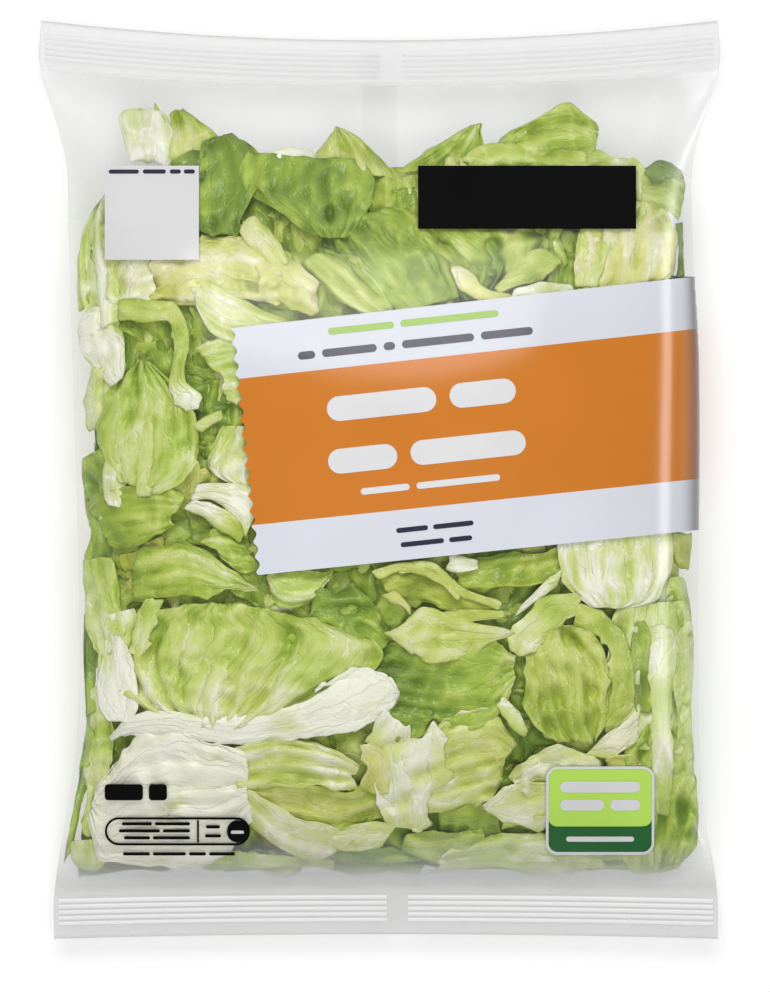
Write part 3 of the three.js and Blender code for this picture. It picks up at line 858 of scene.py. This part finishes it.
     dict(depth=(1, 1.4), tone=(0.4, 0.52), warm=0.3, bulge=2.6, crumple=0.7)),
    ([((515, 618), (522, 603)), ((535, 603), (545, 582)), ((557, 586), (562, 571))],
     dict(depth=(1, 1), tone=(0.08, 0.22), bulge=2, crumple=0.4)),
    ([((556, 518), (668, 512)), ((556, 548), (672, 546)), ((563, 580), (669, 580)), ((584, 603), (656, 600)),
      ((600, 610), (632, 609))],
     dict(depth=(1.4, 0.9), tone=(0.13, 0.08), warm=0.1, folds=(7, 1.6), crumple=0.5, bulge=2, fold_stripe_and_shade=0.09)),
    ([((668, 532), (696, 532)), ((671, 552), (692, 552)), ((680, 570), (689, 569))],
     dict(depth=(3, 3), tone=(0.45, 0.5), warm=1.0, crumple=1.4)),
    ([((670, 640), (694, 638)), ((666, 602), (690, 600)), ((670, 576), (684, 576))],
     dict(depth=(3, 3), tone=(0.62, 0.55), warm=0.2, crumple=1.6)),
    ([((606, 748), (692, 752)), ((604, 700), (697, 700)), ((606, 652), (696, 650)), ((614, 606), (688, 600))],
     dict(depth=(2.6, 2.6), tone=(0.2, 0.3), folds=(3, 1.0), crumple=1, fold_stripe_and_shade=0.05)),
    ([((636, 714), (652, 712)), ((632, 680), (654, 676)), ((630, 645), (652, 642)), ((636, 622), (646, 620))],
     dict(depth=(1.2, 1.2), tone=(0.74, 0.68), warm=0.3, bulge=-0.4, crumple=0.8)),
    ([((672, 766), (698, 756)), ((678, 712), (698, 706)), ((672, 664), (697, 656)), ((680, 630), (693, 622))],
     dict(depth=(1.2, 1.6), tone=(0.34, 0.16), folds=(1, 1), crumple=1.3)),
    # the lower part
    ([((60, 864), (71, 850)), ((69, 800), (84, 796)), ((76, 750), (95, 746)), ((78, 712), (93, 710))],
     dict(depth=(3, 4), tone=(0.6, 0.62), folds=(1, 1), curl=(-2, 0))),
    ([((82, 835), (104, 838)), ((84, 780), (110, 780)), ((86, 735), (112, 730)), ((90, 688), (102, 685))],
     dict(depth=(3.4, 3.6), tone=(0.22, 0.3), folds=(2, 1.3))),
    ([((68, 842), (106, 840)), ((69, 860), (106, 860)), ((80, 874), (97, 874))],
     dict(depth=(2, 2), tone=(0.3, 0.3), crumple=0.8)),
    ([((90, 818), (95, 798)), ((98, 862), (110, 768)), ((130, 868), (130, 744)), ((172, 868), (160, 729)),
      ((216, 862), (206, 735)), ((250, 826), (243, 754))],
     dict(depth=(1.2, 1), tone=(-0.12, -0.06), warm=0.1, folds=(5, 1), crumple=0.9, tear=1, fold_stripe_and_shade=0.03)),
    ([((228, 748), (238, 792)), ((270, 737), (280, 788)), ((322, 744), (330, 792)), ((360, 764), (360, 788))],
     dict(depth=(1.8, 1.8), tone=(0.3, 0.2), warm=0.3, folds=(3, 1.2), crumple=1)),
    ([((244, 784), (248, 806)), ((300, 784), (300, 820)), ((350, 788), (355, 828)), ((388, 770), (392, 820))],
     dict(depth=(3, 3.4), tone=(0.42, 0.46), warm=0.7, bulge=-2, folds=(2, 1))),
    ([((249, 790), (248, 824)), ((280, 811), (274, 846)), ((322, 822), (300, 858)), ((356, 838), (316, 862))],
     dict(depth=(1.6, 1.4), tone=(0.2, 0.1), warm=0.35, folds=(2, 0.8), crumple=0.8)),
    ([((357, 745), (372, 741)), ((366, 765), (393, 760)), ((360, 786), (393, 783)), ((376, 797), (389, 795))],
     dict(depth=(1.1, 1.6), tone=(0.2, 0.24), warm=0.85, bulge=1, crumple=1)),
    ([((378, 724), (442, 720)), ((370, 760), (442, 755)), ((376, 795), (441, 790)), ((390, 822), (434, 827)),
      ((404, 835), (421, 833))],
     dict(depth=(1.2, 1), tone=(0.1, 0.16), warm=0.2, crumple=1.8, ruffle=1.8, tear=2)),
    ([((326, 842), (342, 828)), ((352, 852), (370, 821)), ((380, 850), (398, 824))],
     dict(depth=(1.3, 1.2), tone=(0.22, 0.18), warm=0.2, crumple=0.8)),
    ([((427, 730), (435, 814)), ((455, 716), (462, 812)), ((492, 714), (492, 797)), ((514, 740), (507, 770))],
     dict(depth=(1.7, 1.4), tone=(0.24, 0.32), warm=0.4, folds=(8, 0.5), crumple=1.2, tear=1.6)),
    ([((513, 776), (515, 791)), ((530, 755), (530, 797)), ((562, 746), (562, 792)), ((602, 762), (602, 788))],
     dict(depth=(1.2, 1.2), tone=(0.14, 0.08), warm=0.35, crumple=1.6, tear=1.6)),
    ([((483, 805), (487, 813)), ((505, 791), (510, 824)), ((530, 784), (541, 827)), ((556, 788), (556, 817))],
     dict(depth=(1, 1), tone=(0.08, 0.14), warm=0.4, crumple=0.9, bulge=1)),
    ([((484, 756), (500, 706)), ((520, 760), (528, 700)), ((560, 756), (564, 706))],
     dict(depth=(7, 8), tone=(0.86, 0.92), crumple=2)),
    ([((588, 754), (600, 740)), ((612, 757), (622, 722)), ((638, 742), (639, 708))],
     dict(depth=(2, 2), tone=(0.12, 0.06), warm=0.45, crumple=0.6)),
    ([((605, 769), (612, 757)), ((625, 770), (628, 755)), ((638, 766), (636, 757))],
     dict(depth=(1.1, 1.1), tone=(0.3, 0.36), warm=0.9, ruffle=1.4, tear=1.2)),
    ([((628, 882), (682, 876)), ((622, 840), (701, 835)), ((620, 800), (703, 795)), ((626, 760), (702, 760)),
      ((640, 724), (692, 722))],
     dict(depth=(1.6, 2.5), tone=(0.5, 0.48), warm=0.1, folds=(5, 2.2), crumple=2.8, ruffle=2, tear=1.4,
          rim=0)),
    ([((654, 812), (668, 818)), ((652, 760), (674, 764)), ((650, 700), (673, 702)), ((646, 648), (677, 640)),
      ((645, 628), (664, 624))],
     dict(depth=(1.3, 0.8), tone=(0.26, 0.08), bulge=2.2, crumple=0.9, tear=0.5)),
    ([((202, 872), (214, 850)), ((262, 878), (262, 855)), ((334, 880), (334, 862))],
     dict(depth=(2.6, 2.6), tone=(0.3, 0.34), crumple=0.8)),
    ([((246, 874), (252, 848)), ((310, 880), (312, 850)), ((370, 881), (372, 848)), ((424, 880), (424, 846))],
     dict(depth=(5, 5), tone=(0.66, 0.72), folds=(2, 1))),
    ([((430, 880), (444, 850)), ((500, 883), (505, 834)), ((560, 881), (562, 838)), ((606, 880), (606, 850))],
     dict(depth=(2, 2), tone=(0.24, 0.2), folds=(3, 1))),
    ([((398, 852), (408, 834)), ((440, 864), (446, 831)), ((484, 852), (486, 827))],
     dict(depth=(2.4, 2.4), tone=(0.5, 0.44), warm=0.2, folds=(2, 1))),
    ([((540, 872), (548, 828)), ((600, 874), (604, 834)), ((654, 874), (654, 828))],
     dict(depth=(3, 3), tone=(0.42, 0.46), warm=0.15, folds=(3, 1.2), crumple=1.6)),
    ([((436, 836), (440, 812)), ((470, 840), (472, 806)), ((500, 836), (500, 812))],
     dict(depth=(3.6, 3.6), tone=(0.7, 0.66), warm=0.3)),
    ([((500, 830), (503, 822)), ((525, 824), (530, 814)), ((556, 820), (560, 806))],
     dict(depth=(1, 1), tone=(0.34, 0.36), warm=0.5, crumple=0.4)),
]


def scrap_lines(draw, x, y, length, breadth):
    """Cross lines of a leaf piece that nobody sees whole."""
    turn = draw.uniform(0, math.tau)
    along = np.array([math.cos(turn), math.sin(turn)])
    over = np.array([-along[1], along[0]])
    lines = []
    for share, width in zip(np.linspace(-0.5, 0.5, 4), (0.6, 1, 0.95, 0.5)):
        middle = np.array([x, y]) + along * share * length + over * draw.normal(0, 0.06 * breadth)
        reach = over * breadth * width * draw.uniform(0.8, 1.15) / 2
        lines.append((middle + reach, middle - reach))
    return lines


def kind_of(tone, warm):
    """The kind of leaf, which is the piece of the heap that it joins."""
    shade = sum(tone) / 2
    if shade < 0.15:
        return "white_ribs"
    if warm > 0.65 and shade < 0.45:
        return "yellow_hearts"
    return "pale_leaves" if shade < 0.4 else "green_leaves" if shade < 0.62 else "deep_leaves"


heap = {}
for number, (pixels, look) in enumerate(LEAVES_IN_VIEW):
    lines = [[seen_at(point) for point in ends] for ends in pixels]
    kind = kind_of(look["tone"], look.get("warm", 0))
    heap.setdefault(kind, []).append(leaf_sheet(lines, seed=20 * number + 7, **look))

# The rest of the heap: scraps in three layers, the upper and middle ones under the front film and
# the last one over the back film. Each layer gives its side, its number of scraps, how deep they
# lie and the size of their faces.
LAYERS = [
    ("filling_upper", 1, 70, (7, 12), 2.3),
    ("filling_middle", 1, 60, (15, 30), 2.8),
    ("filling_back", -1, 74, (1, 7), 2.4),
]
HEAP_TOP, HEAP_BOTTOM, HEAP_HALF = 78, -112, 97
TOP_TAPER_START, TOP_TAPER = 30, 0.35
BOTTOM_TAPER_START, BOTTOM_TAPER = -90, 0.5
SPREAD_STEP = 0.618
HEAP_SEED = 4

draw = np.random.default_rng(HEAP_SEED)
for name, side, count, depths, step in LAYERS:
    for number in range(count):
        y = HEAP_BOTTOM + (HEAP_TOP - HEAP_BOTTOM) * (number + draw.uniform(0, 1)) / count
        reach = HEAP_HALF - TOP_TAPER * max(y - TOP_TAPER_START, 0)
        reach = reach - BOTTOM_TAPER * max(BOTTOM_TAPER_START - y, 0)
        x = reach * (((number * SPREAD_STEP) % 1) * 2 - 1) + draw.uniform(-8, 8)
        lines = scrap_lines(draw, x, y, draw.uniform(48, 82), draw.uniform(34, 60))
        # The scraps under the front film are given deep greens partly as painted shade: seen through the
        # gaps, they stand in for the shade between the leaves.
        shade = draw.uniform(0.2, 0.75) if side < 0 else draw.uniform(0.55, 1.05)
        look = dict(
            depth=(draw.uniform(*depths), draw.uniform(*depths)),
            tone=(shade * 0.7, shade),
            warm=draw.uniform(0, 0.5),
            folds=(draw.integers(1, 6), draw.uniform(0.8, 2)),
            crumple=draw.uniform(1, 2.6),
            ruffle=1.4,
            tear=1.2,
            rib=(draw.uniform(-0.5, 0.5), draw.uniform(2, 6), draw.uniform(0, 1)),
        )
        seed = int(draw.integers(1, 99999))
        scrap = leaf_sheet(lines, seed=seed, step=step, side=side, room=FILLING_ROOM, **look)
        heap.setdefault(name, []).append(scrap)


def leaf_finish():
    """Wet lettuce: white ribs, yellow hearts and green blades, with a net of paler veins."""
    made = Finish("wet lettuce")
    green = made.node("ShaderNodeAttribute", {"attribute_name": "green"}).output("Fac")
    yellow = made.node("ShaderNodeAttribute", {"attribute_name": "yellow"}).output("Fac")
    flat = made.node("ShaderNodeUVMap", {"uv_map": "flat"})
    mottle = made.node("ShaderNodeTexNoise", {}, {
        "Vector": flat, "Scale": 11.0, "Detail": 5.0, "Roughness": 0.62})
    warp = made.node("ShaderNodeVectorMath", {"operation": "MULTIPLY_ADD"}, {
        0: mottle.output("Color"), 1: (0.09, 0.09, 0), 2: flat})
    stretched = made.node("ShaderNodeMapping", {}, {"Vector": warp, "Scale": (1.0, 0.3, 1.0)})
    net = made.node("ShaderNodeTexVoronoi", {"feature": "DISTANCE_TO_EDGE"}, {
        "Vector": stretched, "Scale": 17.0})
    long = made.node("ShaderNodeMapping", {}, {"Vector": warp, "Scale": (1.0, 0.16, 1.0)})
    streak = made.node("ShaderNodeTexNoise", {}, {
        "Vector": long, "Scale": 32.0, "Detail": 3.0, "Roughness": 0.6})
    veins = 1 - net.step(0.0, 0.06)
    patchy = green.step(0.0, 0.34, 0.36, 1.0) * green.step(0.5, 0.74, 1.0, 0.5)
    shade = green + ((mottle - 0.5) * 0.52 + (streak - 0.5) * 0.5) * patchy - veins * 0.1
    ramp = made.node("ShaderNodeValToRGB", {"stops": [
        (0.0, (0.93, 0.94, 0.79)),
        (0.07, (0.81, 0.84, 0.6)),
        (0.14, (0.71, 0.77, 0.38)),
        (0.3, (0.56, 0.67, 0.17)),
        (0.5, (0.38, 0.52, 0.06)),
        (0.72, (0.23, 0.36, 0.045)),
        (1.0, (0.11, 0.19, 0.012)),
    ]}, {"Fac": shade})
    heart = made.node("ShaderNodeValToRGB", {"stops": [
        (0.0, (0.80, 0.77, 0.43)),
        (0.25, (0.72, 0.70, 0.22)),
        (0.6, (0.46, 0.50, 0.05)),
        (1.0, (0.20, 0.25, 0.015)),
    ]}, {"Fac": shade})
    height = mottle + streak * 0.7 - veins * 0.15
    solid = made.node("ShaderNodeBsdfPrincipled", {}, {
        "Base Color": made.mix(yellow * 0.8, ramp, heart),
        "Roughness": mottle.step(0.3, 0.7, 0.12, 0.34),
        "Normal": made.node("ShaderNodeBump", {}, {"Strength": 0.9, "Distance": 0.0013, "Height": height}),
    })
    return made.close(solid)


leaf_material = leaf_finish()
for name, sheets in heap.items():
    starts = np.cumsum([0] + [len(s["points"]) for s in sheets])
    faces = np.concatenate([s["faces"] + start for s, start in zip(sheets, starts)])
    points, uv = (np.concatenate([s[key] for s in sheets]) for key in ("points", "uv"))
    values = {key: np.concatenate([s[key] for s in sheets]) for key in ("green", "yellow")}
    piece = mesh_object("leaves_" + name, points, faces, leaf_material, uv, values)
    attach(piece, "root")

# The print: inks laid on the film, as plain fields, bars and a two-tone panel. The wide band is
# turned a little, has a toothed left edge and runs on round the bag's right side to its back.
# Every patch follows the film and stands a hair's breadth over it.
INK_LIFT = 0.14
INK_THICK = 0.1
ON_BAND = INK_LIFT + INK_THICK + 0.05
UNDER_LIGHT = INK_LIFT - 0.08
# How dark the painted shade on the ink is where the film turns down at the bag's sides.
PAINTED_SHADE_SHARE = 0.32
SHARP_EDGE = math.radians(50)


def ink_finish(name, colour, roughness=0.16, gloss=0.5):
    """Ink under a glossy film, a little uneven, and with painted shade: darker where the film turns down at
    the bag's side.
    """
    made = Finish(name)
    place = made.node("ShaderNodeTexCoord").output("Object")
    uneven = made.node("ShaderNodeTexNoise", {}, {"Vector": place, "Scale": 30.0, "Detail": 4.0})
    grain = made.node("ShaderNodeTexNoise", {}, {"Vector": place, "Scale": 1400.0, "Detail": 1.0})
    light = tuple(min(1, c * 1.06 + 0.004) for c in colour)
    dark = tuple(c * 0.93 for c in colour)
    painted_shade_colour = tuple(c * PAINTED_SHADE_SHARE for c in colour)
    # Painted shade: the ink's colour is darkened where the surface stands steep round the bag's side,
    # whatever the light.
    normal = made.node("ShaderNodeNewGeometry").output("Normal")
    upright = abs(made.node("ShaderNodeSeparateXYZ", {}, {0: normal}).output("Z"))
    painted_shade_mask = (1 - upright).step(0.24, 0.62)
    laid = made.mix(uneven, (*dark, 1), (*light, 1))
    gloss_range = {0: uneven, 3: roughness - 0.04, 4: roughness + 0.04}
    solid = made.node("ShaderNodeBsdfPrincipled", {}, {
        "Base Color": made.mix(painted_shade_mask, laid, (*painted_shade_colour, 1)),
        "Roughness": made.node("ShaderNodeMapRange", {}, gloss_range),
        "Specular IOR Level": gloss,
        "Normal": made.node("ShaderNodeBump", {}, {"Strength": 0.04, "Distance": 0.0002, "Height": grain}),
    })
    return made.close(solid)


INKS = {
    "white": ink_finish("white ink", (0.69, 0.71, 0.77), gloss=0.3),
    "plate_white": ink_finish("bright white ink", (0.74, 0.74, 0.75)),
    "grey": ink_finish("pale grey ink", (0.70, 0.70, 0.705)),
    "orange": ink_finish("orange ink", (0.63, 0.2, 0.02), gloss=0.4),
    "black": ink_finish("black ink", (0.003, 0.003, 0.0035), 0.4, 0.02),
    "leaf_green": ink_finish("light green ink", (0.51, 0.81, 0.12)),
    "dark_green": ink_finish("dark green ink", (0.014, 0.13, 0.03)),
    "line_green": ink_finish("mid green ink", (0.30, 0.50, 0.05)),
    "line_dark": ink_finish("dark blue ink", (0.025, 0.025, 0.05)),
}


def on_film(x, y):
    """Points on the film, seen at x, y; what lies past a side goes on round the back."""
    row, across = place_in_bag(*under_eye(x, y))
    past = np.abs(across) > 1
    around = np.where(past, np.sign(across) * (2 - np.abs(across)), across)
    front = film_skin(row, around, 1)
    back = film_skin(row, around, -1)
    return np.where(past[..., None], back, front)


def printed(name, ink, grids, lift=INK_LIFT):
    """One piece of print from grids of x and y, columns to the right and rows upwards."""
    points, faces, count = [], [], 0
    for x, y in grids:
        skin = on_film(x, y)
        normal = np.cross(np.gradient(skin, axis=1), np.gradient(skin, axis=0))
        normal /= np.maximum(np.linalg.norm(normal, axis=-1, keepdims=True), 1e-9)
        solid_points, solid_faces = thin_solid(skin + normal * (lift + INK_THICK), skin + normal * lift)
        points.append(solid_points)
        faces.append(solid_faces + count)
        count += len(solid_points)
    piece = mesh_object(name, np.concatenate(points), np.concatenate(faces), INKS[ink])
    piece.data.set_sharp_from_angle(angle=SHARP_EDGE)
    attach(piece, "root")


PLATE_STEP = 1.5


def plate(middle, width, height, corner, turn=0.0):
    """A grid over a rounded rectangle; a bar, capsule or disc has corners as round as it is high."""
    corner = min(corner, height / 2, width / 2)
    rows = max(2, round((height - 2 * corner) / PLATE_STEP) + 1)
    straight = np.linspace(corner - height / 2, height / 2 - corner, rows)
    curve = corner * np.cos(np.linspace(math.pi, math.pi / 2, 7))
    rise = np.r_[corner - height / 2 + curve[:-1], straight, (height / 2 - corner - curve[::-1])[1:]]
    beyond = np.maximum(np.abs(rise) - (height / 2 - corner), 0)
    half = width / 2 - corner + np.sqrt(np.maximum(corner**2 - beyond**2, (0.02 * corner) ** 2))
    share = np.linspace(-1, 1, max(3, round(width / PLATE_STEP) + 1))
    s, t = half[:, None] * share[None, :], np.repeat(rise[:, None], len(share), 1)
    return turned(middle, s, t, turn)


def turned(middle, s, t, turn):
    """Moves a grid of s and t to its middle and turns it there."""
    cos, sin = math.cos(turn), math.sin(turn)
    return middle[0] + s * cos - t * sin, middle[1] + s * sin + t * cos


def frame_of(middle, width, height, corner, stroke):
    """A grid over a rounded outline of even stroke: four straight sides and four corners in one strip."""
    corner = min(corner, height / 2, width / 2)
    s, t, out_s, out_t = [], [], [], []
    for quarter in range(4):
        sweep = math.pi / 2 * quarter + np.linspace(0, math.pi / 2, 9)
        hub_s = (width / 2 - corner) * (1 if quarter in (0, 3) else -1)
        hub_t = (height / 2 - corner) * (1 if quarter in (0, 1) else -1)
        s.append(hub_s + corner * np.cos(sweep))
        t.append(hub_t + corner * np.sin(sweep))
        out_s.append(np.cos(sweep))
        out_t.append(np.sin(sweep))
    s, t, out_s, out_t = (np.r_[np.concatenate(part), part[0][0]] for part in (s, t, out_s, out_t))
    even = np.r_[0, np.cumsum(np.hypot(np.diff(s), np.diff(t)))]
    at = np.unique(np.r_[even, np.linspace(0, even[-1], round(even[-1] / 2))])
    s, t, out_s, out_t = (np.interp(at, even, part) for part in (s, t, out_s, out_t))
    across = np.stack([s, s - stroke * out_s])
    up = np.stack([t, t - stroke * out_t])
    return middle[0] + across, middle[1] + up


# The wide band: white with an orange field, printed across the front and round the right side. Along
# it runs s, from its toothed left edge, and t is up. Rows of plain bars stand on it: how high the row
# is on the band, how high its bars are, how long each is, and the gap between them.
BAND_START = (-47.0, 9.6)
BAND_TURN = math.radians(6.1)
BAND_HALF = 42.9
BAND_SPREAD = 0.0001
ORANGE_TOP, ORANGE_BOTTOM = 25.2, -25.6
BAND_REACH = 240
TOOTH_PITCH = 5.3
TOOTH_DEPTH = 1.5
BARS_MIDDLE = 63.0
SMALL_ROWS = [(37.9, 2.3, (23, 34), 2.2)]
DARK_ROWS = [(30.7, 2.7, (6, 19, 4, 25, 18), 2.4), (-32.6, 1.7, (11, 14), 1.8), (-37.6, 1.7, (15, 8), 1.8)]
TITLE_ROWS = [(11.2, 8.6, (38, 23), 4.6), (-6.8, 8.6, (24, 40), 4.6)]
WHITE_ROWS = [(-18.0, 2.3, (17, 29), 2.4)]


def band_point(s, t):
    """Where a point of the band is seen, in the bag's x and y."""
    return turned(BAND_START, s, t * (1 + BAND_SPREAD * s), BAND_TURN)


def band_grid(low, high):
    """Part of the band between two heights, with rounded teeth along its left edge."""
    t = np.linspace(low, high, round((high - low) / TOOTH_PITCH * 10))[:, None]
    bite = TOOTH_DEPTH * np.abs(np.sin(math.pi * (t - BAND_HALF) / TOOTH_PITCH)) ** 1.4
    to_side = bag_half(0.0) + bag_middle(0.0) - BAND_START[0]
    round_corner = (to_side + t * math.sin(BAND_TURN)) / math.cos(BAND_TURN)
    to_corner = np.sin(np.linspace(0, math.pi / 2, 100))[None, :]
    behind = 1 - np.cos(np.linspace(0, math.pi / 2, 50))[None, 1:]
    front = bite + (round_corner - bite) * to_corner
    s = np.concatenate([front, round_corner + (BAND_REACH - round_corner) * behind], axis=1)
    return band_point(s, np.repeat(t, s.shape[1], 1))


def bars_on_band(rows):
    """Grids for rows of plain bars with round ends."""
    bars = []
    for middle_t, height, lengths, gap in rows:
        start = BARS_MIDDLE - (sum(lengths) + gap * (len(lengths) - 1)) / 2
        for length in lengths:
            middle = band_point(start + length / 2, middle_t)
            bars.append(plate(middle, length, height, height / 2, BAND_TURN))
            start += length + gap
    return bars


printed("band_white", "white", [band_grid(-BAND_HALF, ORANGE_BOTTOM), band_grid(ORANGE_TOP, BAND_HALF)])
printed("band_orange", "orange", [band_grid(ORANGE_BOTTOM, ORANGE_TOP)])
printed("band_small_bars", "line_green", bars_on_band(SMALL_ROWS), ON_BAND)
printed("band_dark_bars", "line_dark", bars_on_band(DARK_ROWS), ON_BAND)
printed("band_title_bars", "plate_white", bars_on_band(TITLE_ROWS), ON_BAND)
printed("band_white_bars", "plate_white", bars_on_band(WHITE_ROWS), ON_BAND)

# The single panels and small marks: inks printed flat on the film. Each is given by the box that it
# fills in the photograph, as left, top, right and bottom in pixels.
DATE_PANEL = (105, 166, 199, 260)
DATE_MARKS = [(109, 170, 139, 174), (143, 170, 166, 174), (170, 170, 181, 174), (184, 170, 195, 174)]
DARK_PANEL = (418, 166, 636, 229)
WEIGHT_MARKS = [(105, 784, 143, 800), (149, 784, 167, 800)]
CAPSULE = (105, 817, 250, 845)
CAPSULE_DISC = (227, 820, 248, 842)
CAPSULE_DIVIDER = (197, 820, 199, 842)
CAPSULE_STROKE = 0.75
DISC_MARK = (231, 830, 244, 833)
CAPSULE_MARKS = [
    (122, 822, 152, 825), (155, 822, 190, 825), (119, 829, 160, 832), (163, 829, 190, 832),
    (124, 836, 150, 839), (153, 836, 190, 839), (206, 825, 220, 828), (205, 834, 221, 837),
    (123, 852, 150, 855), (153, 852, 186, 855), (189, 852, 206, 855), (209, 852, 235, 855),
]
TWO_TONE = (548, 768, 652, 852)
TWO_TONE_LIGHT = (548, 768, 652, 826)
TWO_TONE_DARK = (548, 814, 652, 852)
TWO_TONE_MARKS = [(560, 781, 640, 792), (560, 799, 604, 810), (610, 799, 640, 810), (566, 836, 634, 841)]
TWO_TONE_CORNER = 3.2
BORDER, BORDER_STROKE, BORDER_CORNER = 0.7, 0.9, 4.1
SHARP_CORNER = 0.01
MARK_CORNER = 1.2
ROUND_ENDS = 9


def at_pixels(left, top, right, bottom):
    """Middle, width and height in millimetres of a box in the photograph's pixels."""
    middle = ((left + right) / 2 - MIDDLE_PIXEL[0]) * PIXEL, (MIDDLE_PIXEL[1] - (top + bottom) / 2) * PIXEL
    return middle, (right - left) * PIXEL, (bottom - top) * PIXEL


def plates(boxes, corner):
    """Grids over boxes of the photograph's pixels."""
    return [plate(*at_pixels(*box), corner) for box in boxes]


printed("date_panel", "grey", plates([DATE_PANEL], SHARP_CORNER))
printed("date_bars", "line_dark", plates(DATE_MARKS, ROUND_ENDS), ON_BAND)
printed("dark_panel", "black", plates([DARK_PANEL], SHARP_CORNER))
printed("weight_bars", "black", plates(WEIGHT_MARKS, MARK_CORNER))

middle, width, height = at_pixels(*CAPSULE)
outline = frame_of(middle, width, height, height / 2, CAPSULE_STROKE)
divider = plates([CAPSULE_DIVIDER], SHARP_CORNER)
disc = plates([CAPSULE_DISC], ROUND_ENDS)
printed("capsule_outline", "black", [outline, *divider, *disc])
printed("capsule_bars", "black", plates(CAPSULE_MARKS, ROUND_ENDS))
printed("disc_bar", "plate_white", plates([DISC_MARK], ROUND_ENDS), ON_BAND)

middle, width, height = at_pixels(*TWO_TONE)
border = frame_of(middle, width + 2 * BORDER, height + 2 * BORDER, BORDER_CORNER, BORDER_STROKE)
printed("panel_border", "plate_white", [border], ON_BAND)
printed("panel_light", "leaf_green", plates([TWO_TONE_LIGHT], TWO_TONE_CORNER))
printed("panel_dark", "dark_green", plates([TWO_TONE_DARK], TWO_TONE_CORNER), UNDER_LIGHT)
printed("panel_bars", "plate_white", plates(TWO_TONE_MARKS, ROUND_ENDS), ON_BAND)

# The stage: a plain pale floor that glows a little, a large soft light beyond the top end of the bag,
# another overhead, and a low strip light to the right that draws the highlight down that side.
FLOOR_HALF = 4000
FLOOR_GLOW = 0.36
STUDIO_GLOW = 0.25
AIM = (0, 0, 0.03)
PHOTO_HEIGHT = 992
SENSOR = 36


def floor_finish():
    """A matt, nearly white floor with the faintest unevenness."""
    made = Finish("pale floor")
    place = made.node("ShaderNodeTexCoord").output("Object")
    speckle = made.node("ShaderNodeTexNoise", {}, {"Vector": place, "Scale": 3.0})
    solid = made.node("ShaderNodeBsdfPrincipled", {}, {
        "Base Color": made.mix(speckle, (0.67, 0.67, 0.67, 1), (0.69, 0.69, 0.69, 1)),
        "Roughness": 0.9,
        "Emission Color": (1, 1, 1, 1),
        "Emission Strength": FLOOR_GLOW,
    })
    return made.close(solid)


floor_points = np.array([(-1, -1, 0), (1, -1, 0), (1, 1, 0), (-1, 1, 0)])
floor = mesh_object("floor", floor_points * FLOOR_HALF, np.array([[0, 1, 2, 3]]), floor_finish())


def soft_light(name, place, size, power, fills=True, shines=True):
    """A rectangular light at a place in metres, turned to the bag."""
    data = bpy.data.lights.new(name, "AREA")
    data.shape = "RECTANGLE"
    data.size, data.size_y = size
    data.energy = power
    light = bpy.data.objects.new(name, data)
    bpy.context.scene.collection.objects.link(light)
    light.location = place
    away = mathutils.Vector(place) - mathutils.Vector(AIM)
    light.rotation_euler = away.to_track_quat("Z", "Y").to_euler()
    light.visible_diffuse = fills
    light.visible_glossy = shines


soft_light("key light", (-0.12, 1.0, 1.5), (1.3, 0.9), 16)
soft_light("overhead light", (0.1, -0.48, 2.05), (1.4, 1.4), 20.6, shines=False)
soft_light("strip light", (1.1, 0.1, 0.36), (1.4, 0.18), 6.5, fills=False)

world = bpy.data.worlds.new("studio")
bpy.context.scene.world = world
world.use_nodes = True
glow = world.node_tree.nodes["Background"]
glow.inputs["Color"].default_value = (1, 1, 1, 1)
glow.inputs["Strength"].default_value = STUDIO_GLOW

lens = bpy.data.cameras.new("camera")
lens.sensor_width = SENSOR
lens.lens = SENSOR * (EYE_HEIGHT - SIDE_LEVEL) / (PHOTO_HEIGHT * PIXEL)
camera = bpy.data.objects.new("camera", lens)
bpy.context.scene.collection.objects.link(camera)
camera.location = (EYE_X * MM, EYE_Y * MM, EYE_HEIGHT * MM)
bpy.context.scene.camera = camera
bpy.context.scene.view_settings.view_transform = "Standard"
